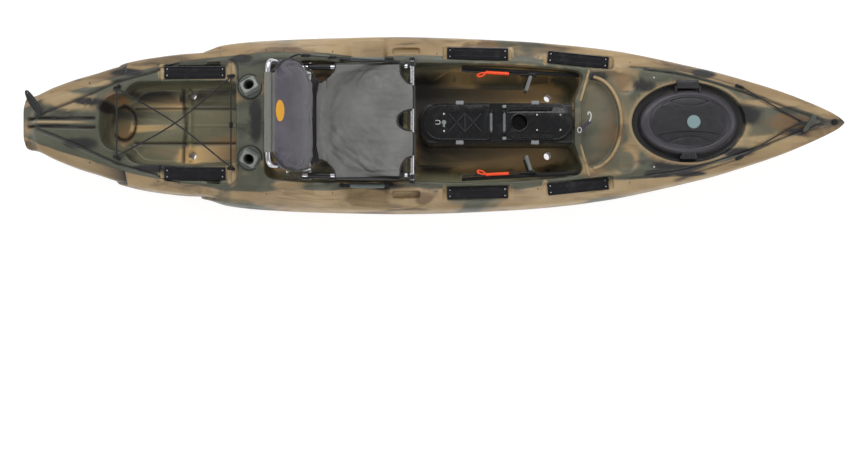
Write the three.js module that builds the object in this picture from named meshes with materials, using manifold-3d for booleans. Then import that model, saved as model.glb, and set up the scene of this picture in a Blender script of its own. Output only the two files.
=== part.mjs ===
// A paddled sit-on-top fishing kayak: a one-piece hollow hull with a tank well, a seat well and a
// footwell, a folding framed seat, a centre console, a bow hatch, sliding foot braces, rod holders,
// gear plates, elastic cords and carry handles.
// Millimetres. +X points to the bow, +Y to port and +Z up. The origin is under the middle of the
// hull, level with the lowest line of the keel.
import * as THREE from "three";
import { mergeVertices } from "three/addons/utils/BufferGeometryUtils.js";
import Module from "manifold-3d";

const wasm = await Module();
wasm.setup();

// ---------------------------------------------------------------- driving dimensions

const WALL = 3.3; // thickness of the moulded hull
const GAP = 0.4; // clearance between pieces that touch
const ABOVE_DECK = 480; // height that every cut from above starts from
const TUBE_R = 11; // seat tubing

// Lines of the hull as [x, value] points from stern to bow.
const LINES = {
  beam: [[-1943, 77], [-1932, 120], [-1915, 130], [-1890, 133], [-1800, 176], [-1700, 219],
    [-1600, 255], [-1500, 295], [-1400, 320], [-1300, 336], [-1200, 350], [-1100, 362],
    [-1000, 392], [-900, 406], [-800, 414], [-600, 424], [-400, 429], [-150, 433], [50, 429],
    [250, 421], [450, 410], [650, 392], [850, 365], [1000, 336], [1200, 291], [1350, 254],
    [1500, 207], [1600, 173], [1700, 134], [1800, 89], [1860, 60], [1900, 39], [1925, 22],
    [1943, 4]],
  keel: [[-1943, 254], [-1928, 235], [-1882, 209], [-1857, 138], [-1838, 94], [-1812, 61],
    [-1630, 47], [-1400, 38], [-1000, 28], [-600, 19], [0, 5], [300, 0], [900, 0], [1200, 6],
    [1500, 19], [1687, 26], [1765, 62], [1828, 124], [1882, 218], [1917, 290], [1943, 326]],
  chine: [[-1943, 262], [-1882, 205], [-1773, 170], [-1644, 135], [-1321, 88], [-1000, 75],
    [-500, 70], [0, 63], [400, 65], [790, 90], [1048, 132], [1257, 165], [1491, 202],
    [1646, 250], [1804, 297], [1919, 320], [1943, 332]],
  chineShare: [[-1943, 0.8], [-1773, 0.8], [-1200, 0.9], [-500, 0.93], [500, 0.93],
    [1257, 0.8], [1700, 0.72], [1943, 0.72]],
  tuckShare: [[-1943, 0.35], [-1773, 0.35], [-1321, 0.62], [-1000, 0.72], [-400, 0.78],
    [500, 0.78], [1257, 0.42], [1700, 0.3], [1943, 0.3]],
  seam: [[-1943, 300], [-1850, 316], [-1707, 300], [-1462, 274], [-1200, 282], [-900, 276],
    [-590, 266], [-300, 277], [100, 271], [600, 272], [800, 285], [950, 296], [1170, 293],
    [1340, 298], [1500, 312], [1700, 330], [1850, 343], [1943, 337]],
  rim: [[-1943, 306], [-1900, 322], [-1850, 362], [-1800, 360], [-1550, 330], [-1400, 325],
    [-1000, 326], [-900, 342], [-800, 374], [-695, 391], [-570, 392], [-500, 375], [-420, 325],
    [-375, 282], [-240, 282], [-205, 333], [-100, 350], [0, 347], [90, 333], [200, 322],
    [560, 320], [730, 328], [890, 350], [970, 352], [1200, 348], [1340, 350], [1500, 355],
    [1700, 362], [1800, 368], [1850, 358], [1943, 341]],
  rimHalf: [[-1943, 60], [-1850, 92], [-1700, 140], [-1400, 235], [-1120, 283], [-900, 310],
    [-700, 318], [-500, 312], [-300, 305], [0, 302], [400, 298], [600, 278], [800, 265],
    [900, 262], [1100, 240], [1293, 193], [1465, 146], [1721, 54], [1858, 8], [1943, 2]],
  crown: [[-1943, 306], [-1900, 326], [-1850, 369], [-1800, 367], [-1560, 338], [-900, 348],
    [-800, 350], [700, 330], [900, 345], [1200, 352], [1450, 357], [1800, 374], [1840, 360],
    [1943, 345]],
};
const SEAM_SHARE = 0.955; // half-breadth at the parting line over the greatest half-breadth
const TUCK_RISE = 0.45; // height of the bottom's turn, from keel to chine
const WIDEST_RISE = 0.55; // height of the greatest breadth, from chine to parting line
const BOTTOM_CURVE = 2; // power of the bottom's rise from keel to turn
const SHOULDER_CURVE = 0.75; // power of the deck's rise from parting line to rim

// Stations of the hull: [from, to, steps].
const STATIONS = [[-1943, -1800, 6], [-1800, -900, 7], [-900, -500, 5], [-500, -180, 8],
  [-180, 200, 4], [200, 1400, 9], [1400, 1780, 3], [1780, 1943, 6]];

// Wells cut from above. Each outline is [x, half-width] from stern to bow, and levels run from
// the floor up, each with the height and the outline there.
const TANK_WELL = [
  [170, [[-1548, 50], [-1530, 88], [-1495, 108], [-1452, 112], [-1430, 150], [-1390, 172],
    [-1150, 180], [-965, 180], [-948, 155]]],
  [215, [[-1562, 58], [-1545, 100], [-1505, 126], [-1455, 132], [-1434, 168], [-1395, 190],
    [-1150, 194], [-950, 194], [-932, 168]]],
  [ABOVE_DECK, [[-1582, 70], [-1562, 118], [-1515, 142], [-1458, 147], [-1440, 184], [-1400, 203],
    [-1150, 205], [-935, 205], [-918, 180]]],
];
const SEAT_WELL = [
  [205, [[-772, 200], [-755, 236], [-600, 258], [-300, 256], [-120, 252], [-90, 246]]],
  [250, [[-782, 215], [-765, 258], [-600, 276], [-300, 274], [-120, 272], [-90, 266]]],
  [ABOVE_DECK, [[-797, 228], [-780, 270], [-600, 287], [-300, 285], [-120, 285], [-90, 284]]],
];
const FOOTWELL = [
  [125, [[-95, 196], [-60, 206], [137, 206], [400, 202], [600, 186], [668, 170]]],
  [200, [[-122, 248], [-70, 274], [137, 279], [400, 273], [600, 257], [700, 242]]],
  [ABOVE_DECK, [[-150, 255], [-90, 284], [137, 286], [400, 280], [600, 264], [722, 246]]],
];
const PLINTH = { rear: -60, front: 760, half: 93, foot: 104, top: 300 };
const TRAY = { rear: 706, front: 884, half: 212, corner: 742, neck: 100, floor: 300 };
const FOOTWELL_NOTCH = { tip: 671, half: 100, corner: 724, reach: 250 };

const CONSOLE = { rear: -52, front: 666, half: 91.5, top: 336, seat: 300, tubFloor: 160 };
const HATCH = { x: 1205, long: 265, wide: 187, floor: 320, mouthLong: 196, mouthWide: 121 };
const PADS = { x: 905, y: 184, r: 54, floor: 342 };
const SCUPPERS = [[-1173, 147], [-280, 150], [568, 143]];
const SCUPPER_R = 16;
const ROD_HOLDER = { x: -857, y: 168, z: 352, boreR: 22, tubeR: 26, flangeR: 57, depth: 185 };
const ROD_LEAN = THREE.MathUtils.degToRad(18);
const DRAIN = { x: 1888, r: 12 };
const SKID = { x: -1720, z: 50, length: 184, width: 28, height: 14, pitch: 0.076 };

// Gear plates: [name, x, y, height of the top face, turn in degrees] on the port side.
const GEAR_PLATES = [["rear", -1125, 240, 319, 0], ["middle", 214, 330, 303, -1],
  ["front", 690, 300, 311, -6]];
const GEAR_PLATE = { length: 290, width: 58, thick: 7 };

// ---------------------------------------------------------------- finishes

const FINISHES = {
  hull: [0x8a7a5a, 0.6, 0],
  plastic: [0x1d1d20, 0.5, 0],
  lid: [0x2b2a30, 0.55, 0],
  rubber: [0x151515, 0.8, 0],
  clip: [0x8e9196, 0.45, 0],
  cap: [0x9fb0b4, 0.5, 0],
  orange: [0xe8471b, 0.5, 0],
  tube: [0xb4b7bb, 0.35, 0.9],
  steel: [0xa9abad, 0.3, 0.9],
  fabric: [0x403e46, 0.9, 0],
  webbing: [0x18181b, 0.9, 0],
  cord: [0x26261f, 0.85, 0],
};
const materials = Object.fromEntries(
  Object.entries(FINISHES).map(([name, [color, roughness, metalness]]) => [
    name,
    new THREE.MeshStandardMaterial({ name, color, roughness, metalness }),
  ]),
);

// ---------------------------------------------------------------- geometry helpers

// A smooth curve through [x, value] points that never overshoots them.
function through(points) {
  const last = points.length - 1;
  const slope = (i) => (points[i + 1][1] - points[i][1]) / (points[i + 1][0] - points[i][0]);
  const tangents = points.map((_, i) => {
    if (i === 0) return slope(0);
    if (i === last) return slope(last - 1);
    const before = slope(i - 1);
    const after = slope(i);
    return before * after <= 0 ? 0 : (2 * before * after) / (before + after);
  });
  return (x) => {
    if (x <= points[0][0]) return points[0][1];
    if (x >= points[last][0]) return points[last][1];
    const i = points.findIndex((p) => p[0] > x) - 1;
    const span = points[i + 1][0] - points[i][0];
    const t = (x - points[i][0]) / span;
    const rise = points[i + 1][1] - points[i][1];
    const a = span * tangents[i] - rise;
    const b = rise - span * tangents[i + 1];
    return points[i][1] + t * rise + t * (1 - t) * ((1 - t) * a + t * b);
  };
}

const mix = THREE.MathUtils.lerp;
const degrees = THREE.MathUtils.degToRad;

function solidOf(geometry) {
  const bare = new THREE.BufferGeometry();
  bare.setAttribute("position", geometry.getAttribute("position"));
  bare.setIndex(geometry.index);
  const merged = mergeVertices(bare, 1e-4);
  return new wasm.Manifold(new wasm.Mesh({
    numProp: 3,
    vertProperties: merged.attributes.position.array,
    triVerts: new Uint32Array(merged.index.array),
  }));
}

function geometryOf(solid) {
  const mesh = solid.getMesh();
  const geometry = new THREE.BufferGeometry();
  geometry.setAttribute("position", new THREE.BufferAttribute(mesh.vertProperties, 3));
  geometry.setIndex(new THREE.BufferAttribute(mesh.triVerts, 1));
  return geometry;
}

function join(...geometries) {
  return geometryOf(geometries.map(solidOf).reduce((a, b) => a.add(b)));
}

function cut(base, ...tools) {
  return geometryOf(tools.map(solidOf).reduce((a, b) => a.subtract(b), solidOf(base)));
}

// A closed skin over rings of [x, y, z] points that all have the same count, with fanned ends.
function loft(rings) {
  const count = rings[0].length;
  const points = rings.flat();
  const faces = [];
  for (let i = 0; i + 1 < rings.length; i += 1) {
    for (let j = 0; j < count; j += 1) {
      const a = i * count + j;
      const b = i * count + ((j + 1) % count);
      faces.push([a, b, b + count], [a, b + count, a + count]);
    }
  }
  for (const [start, flip] of [[0, true], [(rings.length - 1) * count, false]]) {
    const ring = points.slice(start, start + count);
    const centre = points.push([0, 1, 2].map((k) => ring.reduce((s, p) => s + p[k], 0) / count)) - 1;
    for (let j = 0; j < count; j += 1) {
      const a = start + j;
      const b = start + ((j + 1) % count);
      faces.push(flip ? [b, a, centre] : [a, b, centre]);
    }
  }
  const [a, b, c] = [new THREE.Vector3(), new THREE.Vector3(), new THREE.Vector3()];
  const volume = faces.reduce((sum, face) => {
    [a, b, c].forEach((v, k) => v.fromArray(points[face[k]]));
    return sum + a.dot(b.cross(c));
  }, 0);
  const geometry = new THREE.BufferGeometry();
  geometry.setAttribute("position", new THREE.Float32BufferAttribute(points.flat(), 3));
  geometry.setIndex(faces.flatMap((face) => (volume < 0 ? face.toReversed() : face)));
  return geometry;
}

// A box between two heights, breadths and lengths.
function block([x0, x1], [y0, y1], [z0, z1]) {
  const box = new THREE.BoxGeometry(x1 - x0, y1 - y0, z1 - z0);
  return box.translate((x0 + x1) / 2, (y0 + y1) / 2, (z0 + z1) / 2);
}

// A flat outline drawn in plan, from one height up to another.
function slab(shape, z0, z1, curveSegments = 12) {
  const options = { depth: z1 - z0, bevelEnabled: false, curveSegments };
  return new THREE.ExtrudeGeometry(shape, options).translate(0, 0, z0);
}

// A plan outline with straight sides and round ends: full half-circles when round is the half-width.
function longRound(x0, x1, half, rearR = half, frontR = half) {
  const shape = new THREE.Shape();
  shape.moveTo(x0 + rearR, -half);
  shape.lineTo(x1 - frontR, -half);
  shape.absarc(x1 - frontR, -half + frontR, frontR, -Math.PI / 2, 0);
  shape.absarc(x1 - frontR, half - frontR, frontR, 0, Math.PI / 2);
  shape.lineTo(x0 + rearR, half);
  shape.absarc(x0 + rearR, half - rearR, rearR, Math.PI / 2, Math.PI);
  shape.absarc(x0 + rearR, -half + rearR, rearR, Math.PI, Math.PI * 1.5);
  return shape;
}

function oval(long, wide, count = 32) {
  const at = (i) => (i / count) * Math.PI * 2;
  return new THREE.Shape(Array.from({ length: count }, (_, i) =>
    new THREE.Vector2(long * Math.cos(at(i)), wide * Math.sin(at(i)))));
}

// A turned piece about +Z from [radius, height] points that start and end on the axis.
function turned(profile, segments = 24) {
  const points = profile.map(([r, z]) => new THREE.Vector2(r, z));
  return new THREE.LatheGeometry(points, segments).rotateX(Math.PI / 2);
}

// A ring turned about +Z, with a square section.
function collar(inner, outer, z0, z1, segments = 20) {
  return turned([[inner, z0], [outer, z0], [outer, z1], [inner, z1], [inner, z0]], segments);
}

function rod(from, to, radius, sides = 12) {
  const start = new THREE.Vector3(...from);
  const along = new THREE.Vector3(...to).sub(start);
  const rodGeometry = new THREE.CylinderGeometry(radius, radius, along.length(), sides);
  rodGeometry.translate(0, along.length() / 2, 0);
  const turn = new THREE.Quaternion().setFromUnitVectors(
    new THREE.Vector3(0, 1, 0), along.clone().normalize());
  return rodGeometry.applyQuaternion(turn).translate(start.x, start.y, start.z);
}

// A round or flat section swept along a smooth curve through the points.
function sweep(points, section, steps) {
  const path = new THREE.CatmullRomCurve3(points.map((p) => new THREE.Vector3(...p)), false,
    "centripetal");
  return new THREE.ExtrudeGeometry(new THREE.Shape(section), { steps, extrudePath: path });
}

function roundSection(radius, sides = 8) {
  return Array.from({ length: sides }, (_, i) => new THREE.Vector2(
    radius * Math.cos((i / sides) * Math.PI * 2), radius * Math.sin((i / sides) * Math.PI * 2)));
}

function flatSection(thick, width) {
  return [[-1, -1], [1, -1], [1, 1], [-1, 1]].map(([a, b]) =>
    new THREE.Vector2((a * thick) / 2, (b * width) / 2));
}

// ---------------------------------------------------------------- scene graph helpers

const kayak = new THREE.Group();
kayak.name = "fishing_kayak";

function groupAt(x, y, z, parent = kayak) {
  const group = new THREE.Group();
  group.position.set(x, y, z);
  parent.add(group);
  return group;
}

function addPart(group, name, finish, geometry) {
  const mesh = new THREE.Mesh(geometry, materials[finish]);
  mesh.name = name;
  group.add(mesh);
  return mesh;
}

// Runs build once for each side. The group it gets is mirrored on the starboard side.
function onBothSides(build) {
  for (const [side, sign] of [["port", 1], ["starboard", -1]]) {
    const group = groupAt(0, 0, 0);
    group.scale.y = sign;
    build(group, side);
  }
}

// ---------------------------------------------------------------- hull

const line = Object.fromEntries(
  Object.entries(LINES).map(([name, points]) => [name, through(points)]));

// The main points of the hull's section at a station, drawn in by the skin's thickness.
function sectionAt(x, skin = 0) {
  const beam = line.beam(x) - skin;
  const keel = line.keel(x) + skin;
  const chine = Math.max(line.chine(x), line.keel(x) + 6) + skin * 0.6;
  const seam = line.seam(x);
  const rim = line.rim(x) - skin;
  const seamHalf = line.beam(x) * SEAM_SHARE - skin;
  return {
    beam, keel, chine, seam, rim, seamHalf,
    crown: line.crown(x) - skin,
    rimHalf: Math.min(line.rimHalf(x), seamHalf * 0.9),
    chineHalf: beam * line.chineShare(x),
    tuckHalf: beam * line.tuckShare(x),
    tuck: mix(keel, chine, TUCK_RISE),
    widest: mix(chine, seam, WIDEST_RISE),
  };
}

// Height of the deck before the wells are cut.
function deckHeight(x, y) {
  const s = sectionAt(x);
  const out = Math.abs(y);
  if (out <= s.rimHalf) return s.rim + (s.crown - s.rim) * (1 - (out / s.rimHalf) ** 2);
  const inward = Math.max(0, (s.seamHalf - out) / (s.seamHalf - s.rimHalf));
  return mix(s.seam, s.rim, inward ** SHOULDER_CURVE);
}

// Half of the hull's section as [y, z] points from the keel up to the middle of the deck. The
// inside of the hull leaves out the points that only round the outside.
function halfSection(x, skin) {
  const s = sectionAt(x, skin);
  const shoulder = (t) => [mix(s.seamHalf, s.rimHalf, t), mix(s.seam, s.rim, t ** SHOULDER_CURVE)];
  const rounding = (point) => (skin > 0 ? [] : [point]);
  return [
    [0, s.keel],
    ...rounding([s.tuckHalf / 2, mix(s.keel, s.tuck, 0.5 ** BOTTOM_CURVE)]),
    [s.tuckHalf, s.tuck],
    [s.chineHalf, s.chine],
    ...rounding([mix(s.beam, s.chineHalf, 0.25), mix(s.widest, s.chine, 0.5)]),
    [s.beam, s.widest],
    [s.seamHalf, s.seam],
    ...rounding(shoulder(0.4)),
    [s.rimHalf, s.rim],
    [s.rimHalf / 2, mix(s.rim, s.crown, 0.75)],
    [0, s.crown],
  ];
}

function hullLoft(skin, sternmost, foremost) {
  const stations = STATIONS.flatMap(([from, to, steps]) =>
    Array.from({ length: steps }, (_, i) => mix(from, to, i / steps)));
  const kept = stations.filter((x) => x > sternmost && x < foremost);
  return loft([sternmost, ...kept, foremost].map((x) => {
    const half = halfSection(x, skin);
    const port = half.map(([y, z]) => [x, y, z]);
    const starboard = half.slice(1, -1).map(([y, z]) => [x, -y, z]).reverse();
    return [...port, ...starboard];
  }));
}

// A well's cutting solid from its levels, made larger all round by grow.
function well(levels, grow) {
  return loft(levels.map(([z, outline], level) => {
    const ends = [outline[0][0], outline.at(-1)[0]];
    const middle = (ends[0] + ends[1]) / 2;
    const stretch = 1 + (2 * grow) / (ends[1] - ends[0]);
    const height = level === 0 ? z - grow : z;
    const port = outline.map(([x, half]) =>
      [middle + (x - middle) * stretch, half + grow, height]);
    return [...port, ...port.map(([x, y, h]) => [x, -y, h]).reverse()];
  }));
}

// The console stands on this raised spine along the middle of the footwell.
function plinth(grow) {
  const outline = (half) => [[PLINTH.rear + grow, half * 0.55], [PLINTH.rear + 35, half],
    [PLINTH.front, half]];
  return loft([
    [60, outline(PLINTH.foot - grow)],
    [PLINTH.top - grow, outline(PLINTH.half - grow)],
  ].map(([z, points]) => {
    const port = points.map(([x, half]) => [x, half, z]);
    return [...port, ...port.map(([x, y, h]) => [x, -y, h]).reverse()];
  }));
}

// The bulkhead in front of the footwell comes aft in the middle, as a blunt wedge.
function bulkhead(grow) {
  const { tip, half, corner, reach } = FOOTWELL_NOTCH;
  const shape = new THREE.Shape();
  shape.moveTo(tip + grow, -half + grow);
  shape.lineTo(corner + grow * 2, -reach);
  shape.lineTo(corner + 100, -reach);
  shape.lineTo(corner + 100, reach);
  shape.lineTo(corner + grow * 2, reach);
  shape.lineTo(tip + grow, half - grow);
  return slab(shape, 60, ABOVE_DECK + 10);
}

function footwell(grow) {
  return cut(well(FOOTWELL, grow), plinth(grow), bulkhead(grow));
}

function tray(grow) {
  const { rear, front, half, corner, neck, floor } = TRAY;
  const shape = new THREE.Shape();
  shape.moveTo(rear - grow, -neck - grow);
  shape.lineTo(corner, -half - grow);
  shape.absellipse(corner, 0, front - corner + grow, half + grow, -Math.PI / 2, Math.PI / 2);
  shape.lineTo(rear - grow, neck + grow);
  return slab(shape, floor - grow, ABOVE_DECK, 14);
}

function hatchRecess(grow) {
  return slab(oval(HATCH.long + grow, HATCH.wide + grow), HATCH.floor - grow, ABOVE_DECK)
    .translate(HATCH.x, 0, 0);
}

function consoleRecess(grow) {
  const { rear, front, tubFloor } = CONSOLE;
  const shape = longRound(rear + 12 - grow, front - 12 + grow, 84 + grow);
  return slab(shape, tubFloor - 5 - grow, ABOVE_DECK, 5);
}

function padRecess(side, grow) {
  return rod([PADS.x, side * PADS.y, PADS.floor - grow], [PADS.x, side * PADS.y, ABOVE_DECK],
    PADS.r + grow, 18);
}

function platePocket([, x, y, top, turn], side, grow) {
  const { length, width, thick } = GEAR_PLATE;
  const pocket = block([-length / 2 - 2 - grow, length / 2 + 2 + grow],
    [-width / 2 - 2 - grow, width / 2 + 2 + grow], [top - thick - GAP - grow, ABOVE_DECK]);
  return pocket.rotateZ(side * degrees(turn)).translate(x, side * y, 0);
}

// Everything moulded down into the deck, made larger by the wall for the inside of the hull.
function recesses(grow) {
  const shapes = [well(TANK_WELL, grow), well(SEAT_WELL, grow), footwell(grow), tray(grow),
    hatchRecess(grow), consoleRecess(grow)];
  for (const side of [1, -1]) {
    shapes.push(padRecess(side, grow));
    GEAR_PLATES.forEach((plate) => shapes.push(platePocket(plate, side, grow)));
  }
  return shapes;
}

function scuppers(radius) {
  return SCUPPERS.flatMap(([x, y]) => [1, -1].map((side) =>
    rod([x, side * y, -20], [x, side * y, 260], radius, 10)));
}

// The axis of a rod holder's tube, which leans outboard and slightly aft.
function rodHolderAxis(side) {
  return new THREE.Vector3(-0.14, side * Math.sin(ROD_LEAN), Math.cos(ROD_LEAN)).normalize();
}

function alongRodHolder(side, from, to, radius, sides = 16) {
  const axis = rodHolderAxis(side);
  const at = (d) => axis.clone().multiplyScalar(d).toArray();
  return rod(at(from), at(to), radius, sides);
}

function rodHolderHole(side) {
  const { x, y, z, tubeR, depth } = ROD_HOLDER;
  const tubeHole = alongRodHolder(side, -depth - 20, 60, tubeR + 1.5).translate(x, side * y, z);
  const seat = rod([x, side * y, z - GAP], [x, side * y, ABOVE_DECK], ROD_HOLDER.flangeR + 2, 18);
  return join(tubeHole, seat);
}

function skidRecess() {
  const { x, z, length, width, height, pitch } = SKID;
  return block([-length / 2 - 1, length / 2 + 1], [-width / 2 - 1, width / 2 + 1],
    [-40, height - 5]).rotateY(pitch).translate(x, 0, z);
}

function addHull() {
  const outside = cut(hullLoft(0, -1943, 1943), ...recesses(0), ...scuppers(SCUPPER_R));
  const inside = cut(hullLoft(WALL, -1925, 1905), ...recesses(WALL),
    ...scuppers(SCUPPER_R + WALL));
  const mouth = slab(oval(HATCH.mouthLong, HATCH.mouthWide), 250, ABOVE_DECK)
    .translate(HATCH.x, 0, 0);
  const drain = rod([DRAIN.x, 0, 300], [DRAIN.x, 0, ABOVE_DECK], DRAIN.r + 1, 16);
  addPart(kayak, "hull", "hull",
    cut(outside, inside, mouth, drain, rodHolderHole(1), rodHolderHole(-1), skidRecess()));
}

function addSkidPlate() {
  const { x, z, length, width, height, pitch } = SKID;
  const plate = block([-length / 2, length / 2], [-width / 2, width / 2], [-5, height - 5 - GAP]);
  const mesh = addPart(kayak, "skid_plate", "plastic", plate);
  mesh.position.set(x, 0, z);
  mesh.rotation.y = pitch;
}

// ---------------------------------------------------------------- deck fittings

function addGearPlates() {
  onBothSides((group, side) => {
    for (const [name, x, y, top, turn] of GEAR_PLATES) {
      const { length, width, thick } = GEAR_PLATE;
      const shape = longRound(-length / 2, length / 2, width / 2, 5, 5);
      const plate = addPart(group, `gear_plate_${name}_${side}`, "plastic", slab(shape, -thick, 0, 3));
      plate.position.set(x, y, top);
      plate.rotation.z = degrees(turn);
    }
  });
}

function addRodHolders() {
  const { x, y, z, boreR, tubeR, flangeR, depth } = ROD_HOLDER;
  onBothSides((group, side) => {
    const flange = turned([[0, 0], [flangeR, 0], [flangeR, 4], [38, 14], [0, 14]]);
    const body = join(flange, alongRodHolder(1, -depth, 22, tubeR));
    const holder = cut(body, alongRodHolder(1, 6 - depth, 60, boreR));
    addPart(group, `rod_holder_${side}`, "plastic", holder).position.set(x, y, z);
  });
}

// A pad eye: an oval foot with an arched loop along X.
function padEye() {
  const foot = slab(longRound(-20, 20, 8), 0, 4, 2);
  const arch = sweep([[-10, 0, 2], [-9, 0, 9], [0, 0, 14], [9, 0, 9], [10, 0, 2]],
    roundSection(3, 6), 8);
  return join(foot, arch);
}

const WELL_EYES = [["rear", -1486, 167, 28], ["front", -947, 218, 8]];
const BOW_EYE = { x: 1440, y: 168, turn: -20 };
const EYE_LIFT = 7; // height of an eye's foot over the curved deck

function addPadEyes() {
  onBothSides((group, side) => {
    const eyes = [...WELL_EYES.map(([name, ...place]) => [`well_eye_${name}_${side}`, ...place]),
      [`bow_eye_${side}`, BOW_EYE.x, BOW_EYE.y, BOW_EYE.turn]];
    for (const [name, x, y, turn] of eyes) {
      const eye = addPart(group, name, "plastic", padEye());
      eye.position.set(x, y, deckHeight(x, y) + EYE_LIFT);
      eye.rotation.z = degrees(turn);
    }
  });
}

const BUNGEE_R = 3;

// The elastic cord over the tank well: a cross between the four eyes and a run along each end.
function addBungee() {
  const [rear, front] = WELL_EYES.map(([, x, y]) => [x, y - 9, deckHeight(x, y) + EYE_LIFT + 10]);
  const across = ([x, y, z]) => [[x, y, z], [x, y * 0.5, z - 3], [x, 0, z - 4], [x, -y * 0.5, z - 3],
    [x, -y, z]];
  const slanted = (sign) => [[rear[0] + 4, sign * rear[1], rear[2]],
    [-1220, 0, sign > 0 ? 316 : 312], [front[0] - 4, -sign * front[1], front[2]]];
  const runs = [across(rear), across(front), slanted(1), slanted(-1)];
  addPart(kayak, "well_bungee", "cord",
    join(...runs.map((points) => sweep(points, roundSection(BUNGEE_R, 6), 8))));
  const lock = collar(BUNGEE_R + GAP, 9, -13, 13, 14).rotateX(Math.PI / 2);
  addPart(kayak, "cord_lock", "plastic", lock).position.set(front[0], -14, front[2] - 4);
}

function addBowCord() {
  const { x, y } = BOW_EYE;
  const eyeTop = deckHeight(x, y) + 13;
  const run = [[x + 18, y - 8, eyeTop], [1580, 84, 370], [1716, 6, 375], [1722, 0, 376],
    [1716, -6, 375], [1580, -84, 370], [x + 18, -y + 8, eyeTop]];
  addPart(kayak, "bow_cord", "cord", sweep(run, roundSection(3, 6), 30));
}

// The bow's pull toggle: a hand bar on a short strap, lying on the foredeck.
function addBowToggle() {
  const bar = turned([[0, -48], [7, -46], [11, -34], [12, 0], [11, 34], [7, 46], [0, 48]], 12);
  const strap = sweep([[-48, 0, -12], [-26, 0, -10], [0, 0, 0]], flatSection(4, 16), 6);
  bar.rotateX(degrees(-58)).rotateZ(degrees(-27));
  const toggle = join(bar, strap);
  addPart(kayak, "bow_toggle", "plastic", toggle).position.set(1753, -9, 401);
}

function addDrainPlug() {
  const plug = turned([[0, -16], [9, -16], [10, 0], [15, 0], [15, 3], [12, 8], [0, 8]], 16);
  const grip = block([-13, 13], [-2.5, 2.5], [6, 13]);
  addPart(kayak, "drain_plug", "rubber", join(plug, grip))
    .position.set(DRAIN.x, 0, deckHeight(DRAIN.x, 0) + 3);
}

const SIDE_HANDLE = [[-432, 0, 7], [-404, 0, 5], [-376, 0, -10], [-308, 0, -15], [-242, 0, -9],
  [-212, 0, 8], [-186, 0, 13]];
const SIDE_HANDLE_AT = { y: 297, z: 338 };

// A moulded grip on webbing that hangs in the dip of the gunwale.
function addSideHandles() {
  onBothSides((group, side) => {
    const webbing = sweep(SIDE_HANDLE, flatSection(6, 14), 16);
    const grip = sweep(SIDE_HANDLE.slice(2, 5), roundSection(11, 8), 6);
    addPart(group, `side_handle_${side}`, "webbing", join(webbing, grip))
      .position.set(0, SIDE_HANDLE_AT.y, SIDE_HANDLE_AT.z);
  });
}

function addSternHandle() {
  const strap = sweep([[0, 0, 0], [-26, 38, 3], [-52, 80, 2], [-62, 100, -4]],
    flatSection(5, 20), 10);
  const bar = rod([-68, 70, 0], [-36, 104, 0], 9, 10).translate(-8, 8, 2);
  addPart(kayak, "stern_handle", "webbing", join(strap, bar)).position.set(-1851, 41, 374);
}

// A short webbing strap with a snap hook, for holding the paddle across the footwell.
function addKeeperStrap() {
  const strap = sweep([[704, -30, 337], [722, -14, 337], [738, 4, 337]], flatSection(4, 16), 6);
  const hook = sweep([[738, 4, 338], [742, 20, 340], [742, 40, 341], [736, 50, 341]],
    roundSection(4, 8), 8);
  const ring = sweep([[704, -30, 338], [690, -38, 338], [688, -26, 338]], roundSection(3, 8), 8);
  addPart(kayak, "keeper_strap", "webbing", join(strap, hook, ring)).position.z = 6;
}

// ---------------------------------------------------------------- bow hatch

const LID = { long: 227.5, wide: 150.5, foot: 339.4, top: 372 };
const HATCH_HINGE = { y: -165, z: 346, pinR: 4, reach: 40 };
const HATCH_LATCH = { x: -8, y: 162, z: 357, half: 51 };

// The knuckle that carries a hinge pin along X, with its bore.
function knuckle([x0, x1], { y, z, pinR }, outerR = 9) {
  return [rod([x0, y, z], [x1, y, z], outerR, 16), rod([x0 - 1, y, z], [x1 + 1, y, z], pinR + 0.4, 16)];
}

function hatchRim() {
  const ring = oval(235, 158);
  ring.holes.push(oval(200, 125));
  const { y, z } = HATCH_HINGE;
  const ears = [-1, 1].flatMap((end) => {
    const span = [end * 31, end * 39].sort((a, b) => a - b);
    const [ear, bore] = knuckle(span, HATCH_HINGE);
    return [{ solid: join(ear, block(span, [y - 9, y + 12], [HATCH.floor + GAP, z - 4])), bore }];
  });
  const body = join(slab(ring, HATCH.floor + GAP, 334), ...ears.map((e) => e.solid));
  return cut(body, ...ears.map((e) => e.bore));
}

function hatchLid() {
  const shell = turned([[0, 368], [86, 368], [112, 365], [136, 352], [139, LID.foot],
    [LID.wide, LID.foot], [LID.wide, 349], [143, 359], [114, 370], [88, LID.top], [0, LID.top]], 40);
  shell.scale(LID.long / LID.wide, 1, 1);
  const [barrel, bore] = knuckle([-30, 30], HATCH_HINGE);
  const arm = block([-30, 30], [HATCH_HINGE.y, -143], [HATCH_HINGE.z, HATCH_HINGE.z + 9]);
  const lugs = [-1, 1].map((end) => {
    const span = [0, 1].map((k) => HATCH_LATCH.x + end * (HATCH_LATCH.half + 1 + 8 * k));
    return block(span.sort((a, b) => a - b), [136, 170], [352, 364]);
  });
  return cut(join(shell, barrel, arm, ...lugs), bore);
}

function hatchLatch() {
  const { half, y } = HATCH_LATCH;
  const side = new THREE.Shape([[157 - y, -5], [195 - y, -5], [199 - y, 0], [196 - y, 7],
    [180 - y, 11], [160 - y, 10], [157 - y, 7]].map(([a, b]) => new THREE.Vector2(a, b)));
  const body = new THREE.ExtrudeGeometry(side, { depth: half * 2, bevelEnabled: false });
  // The profile is drawn across the hatch, so it is turned to run along it.
  return body.rotateX(Math.PI / 2).rotateZ(Math.PI / 2).translate(-half, 0, 0);
}

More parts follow.
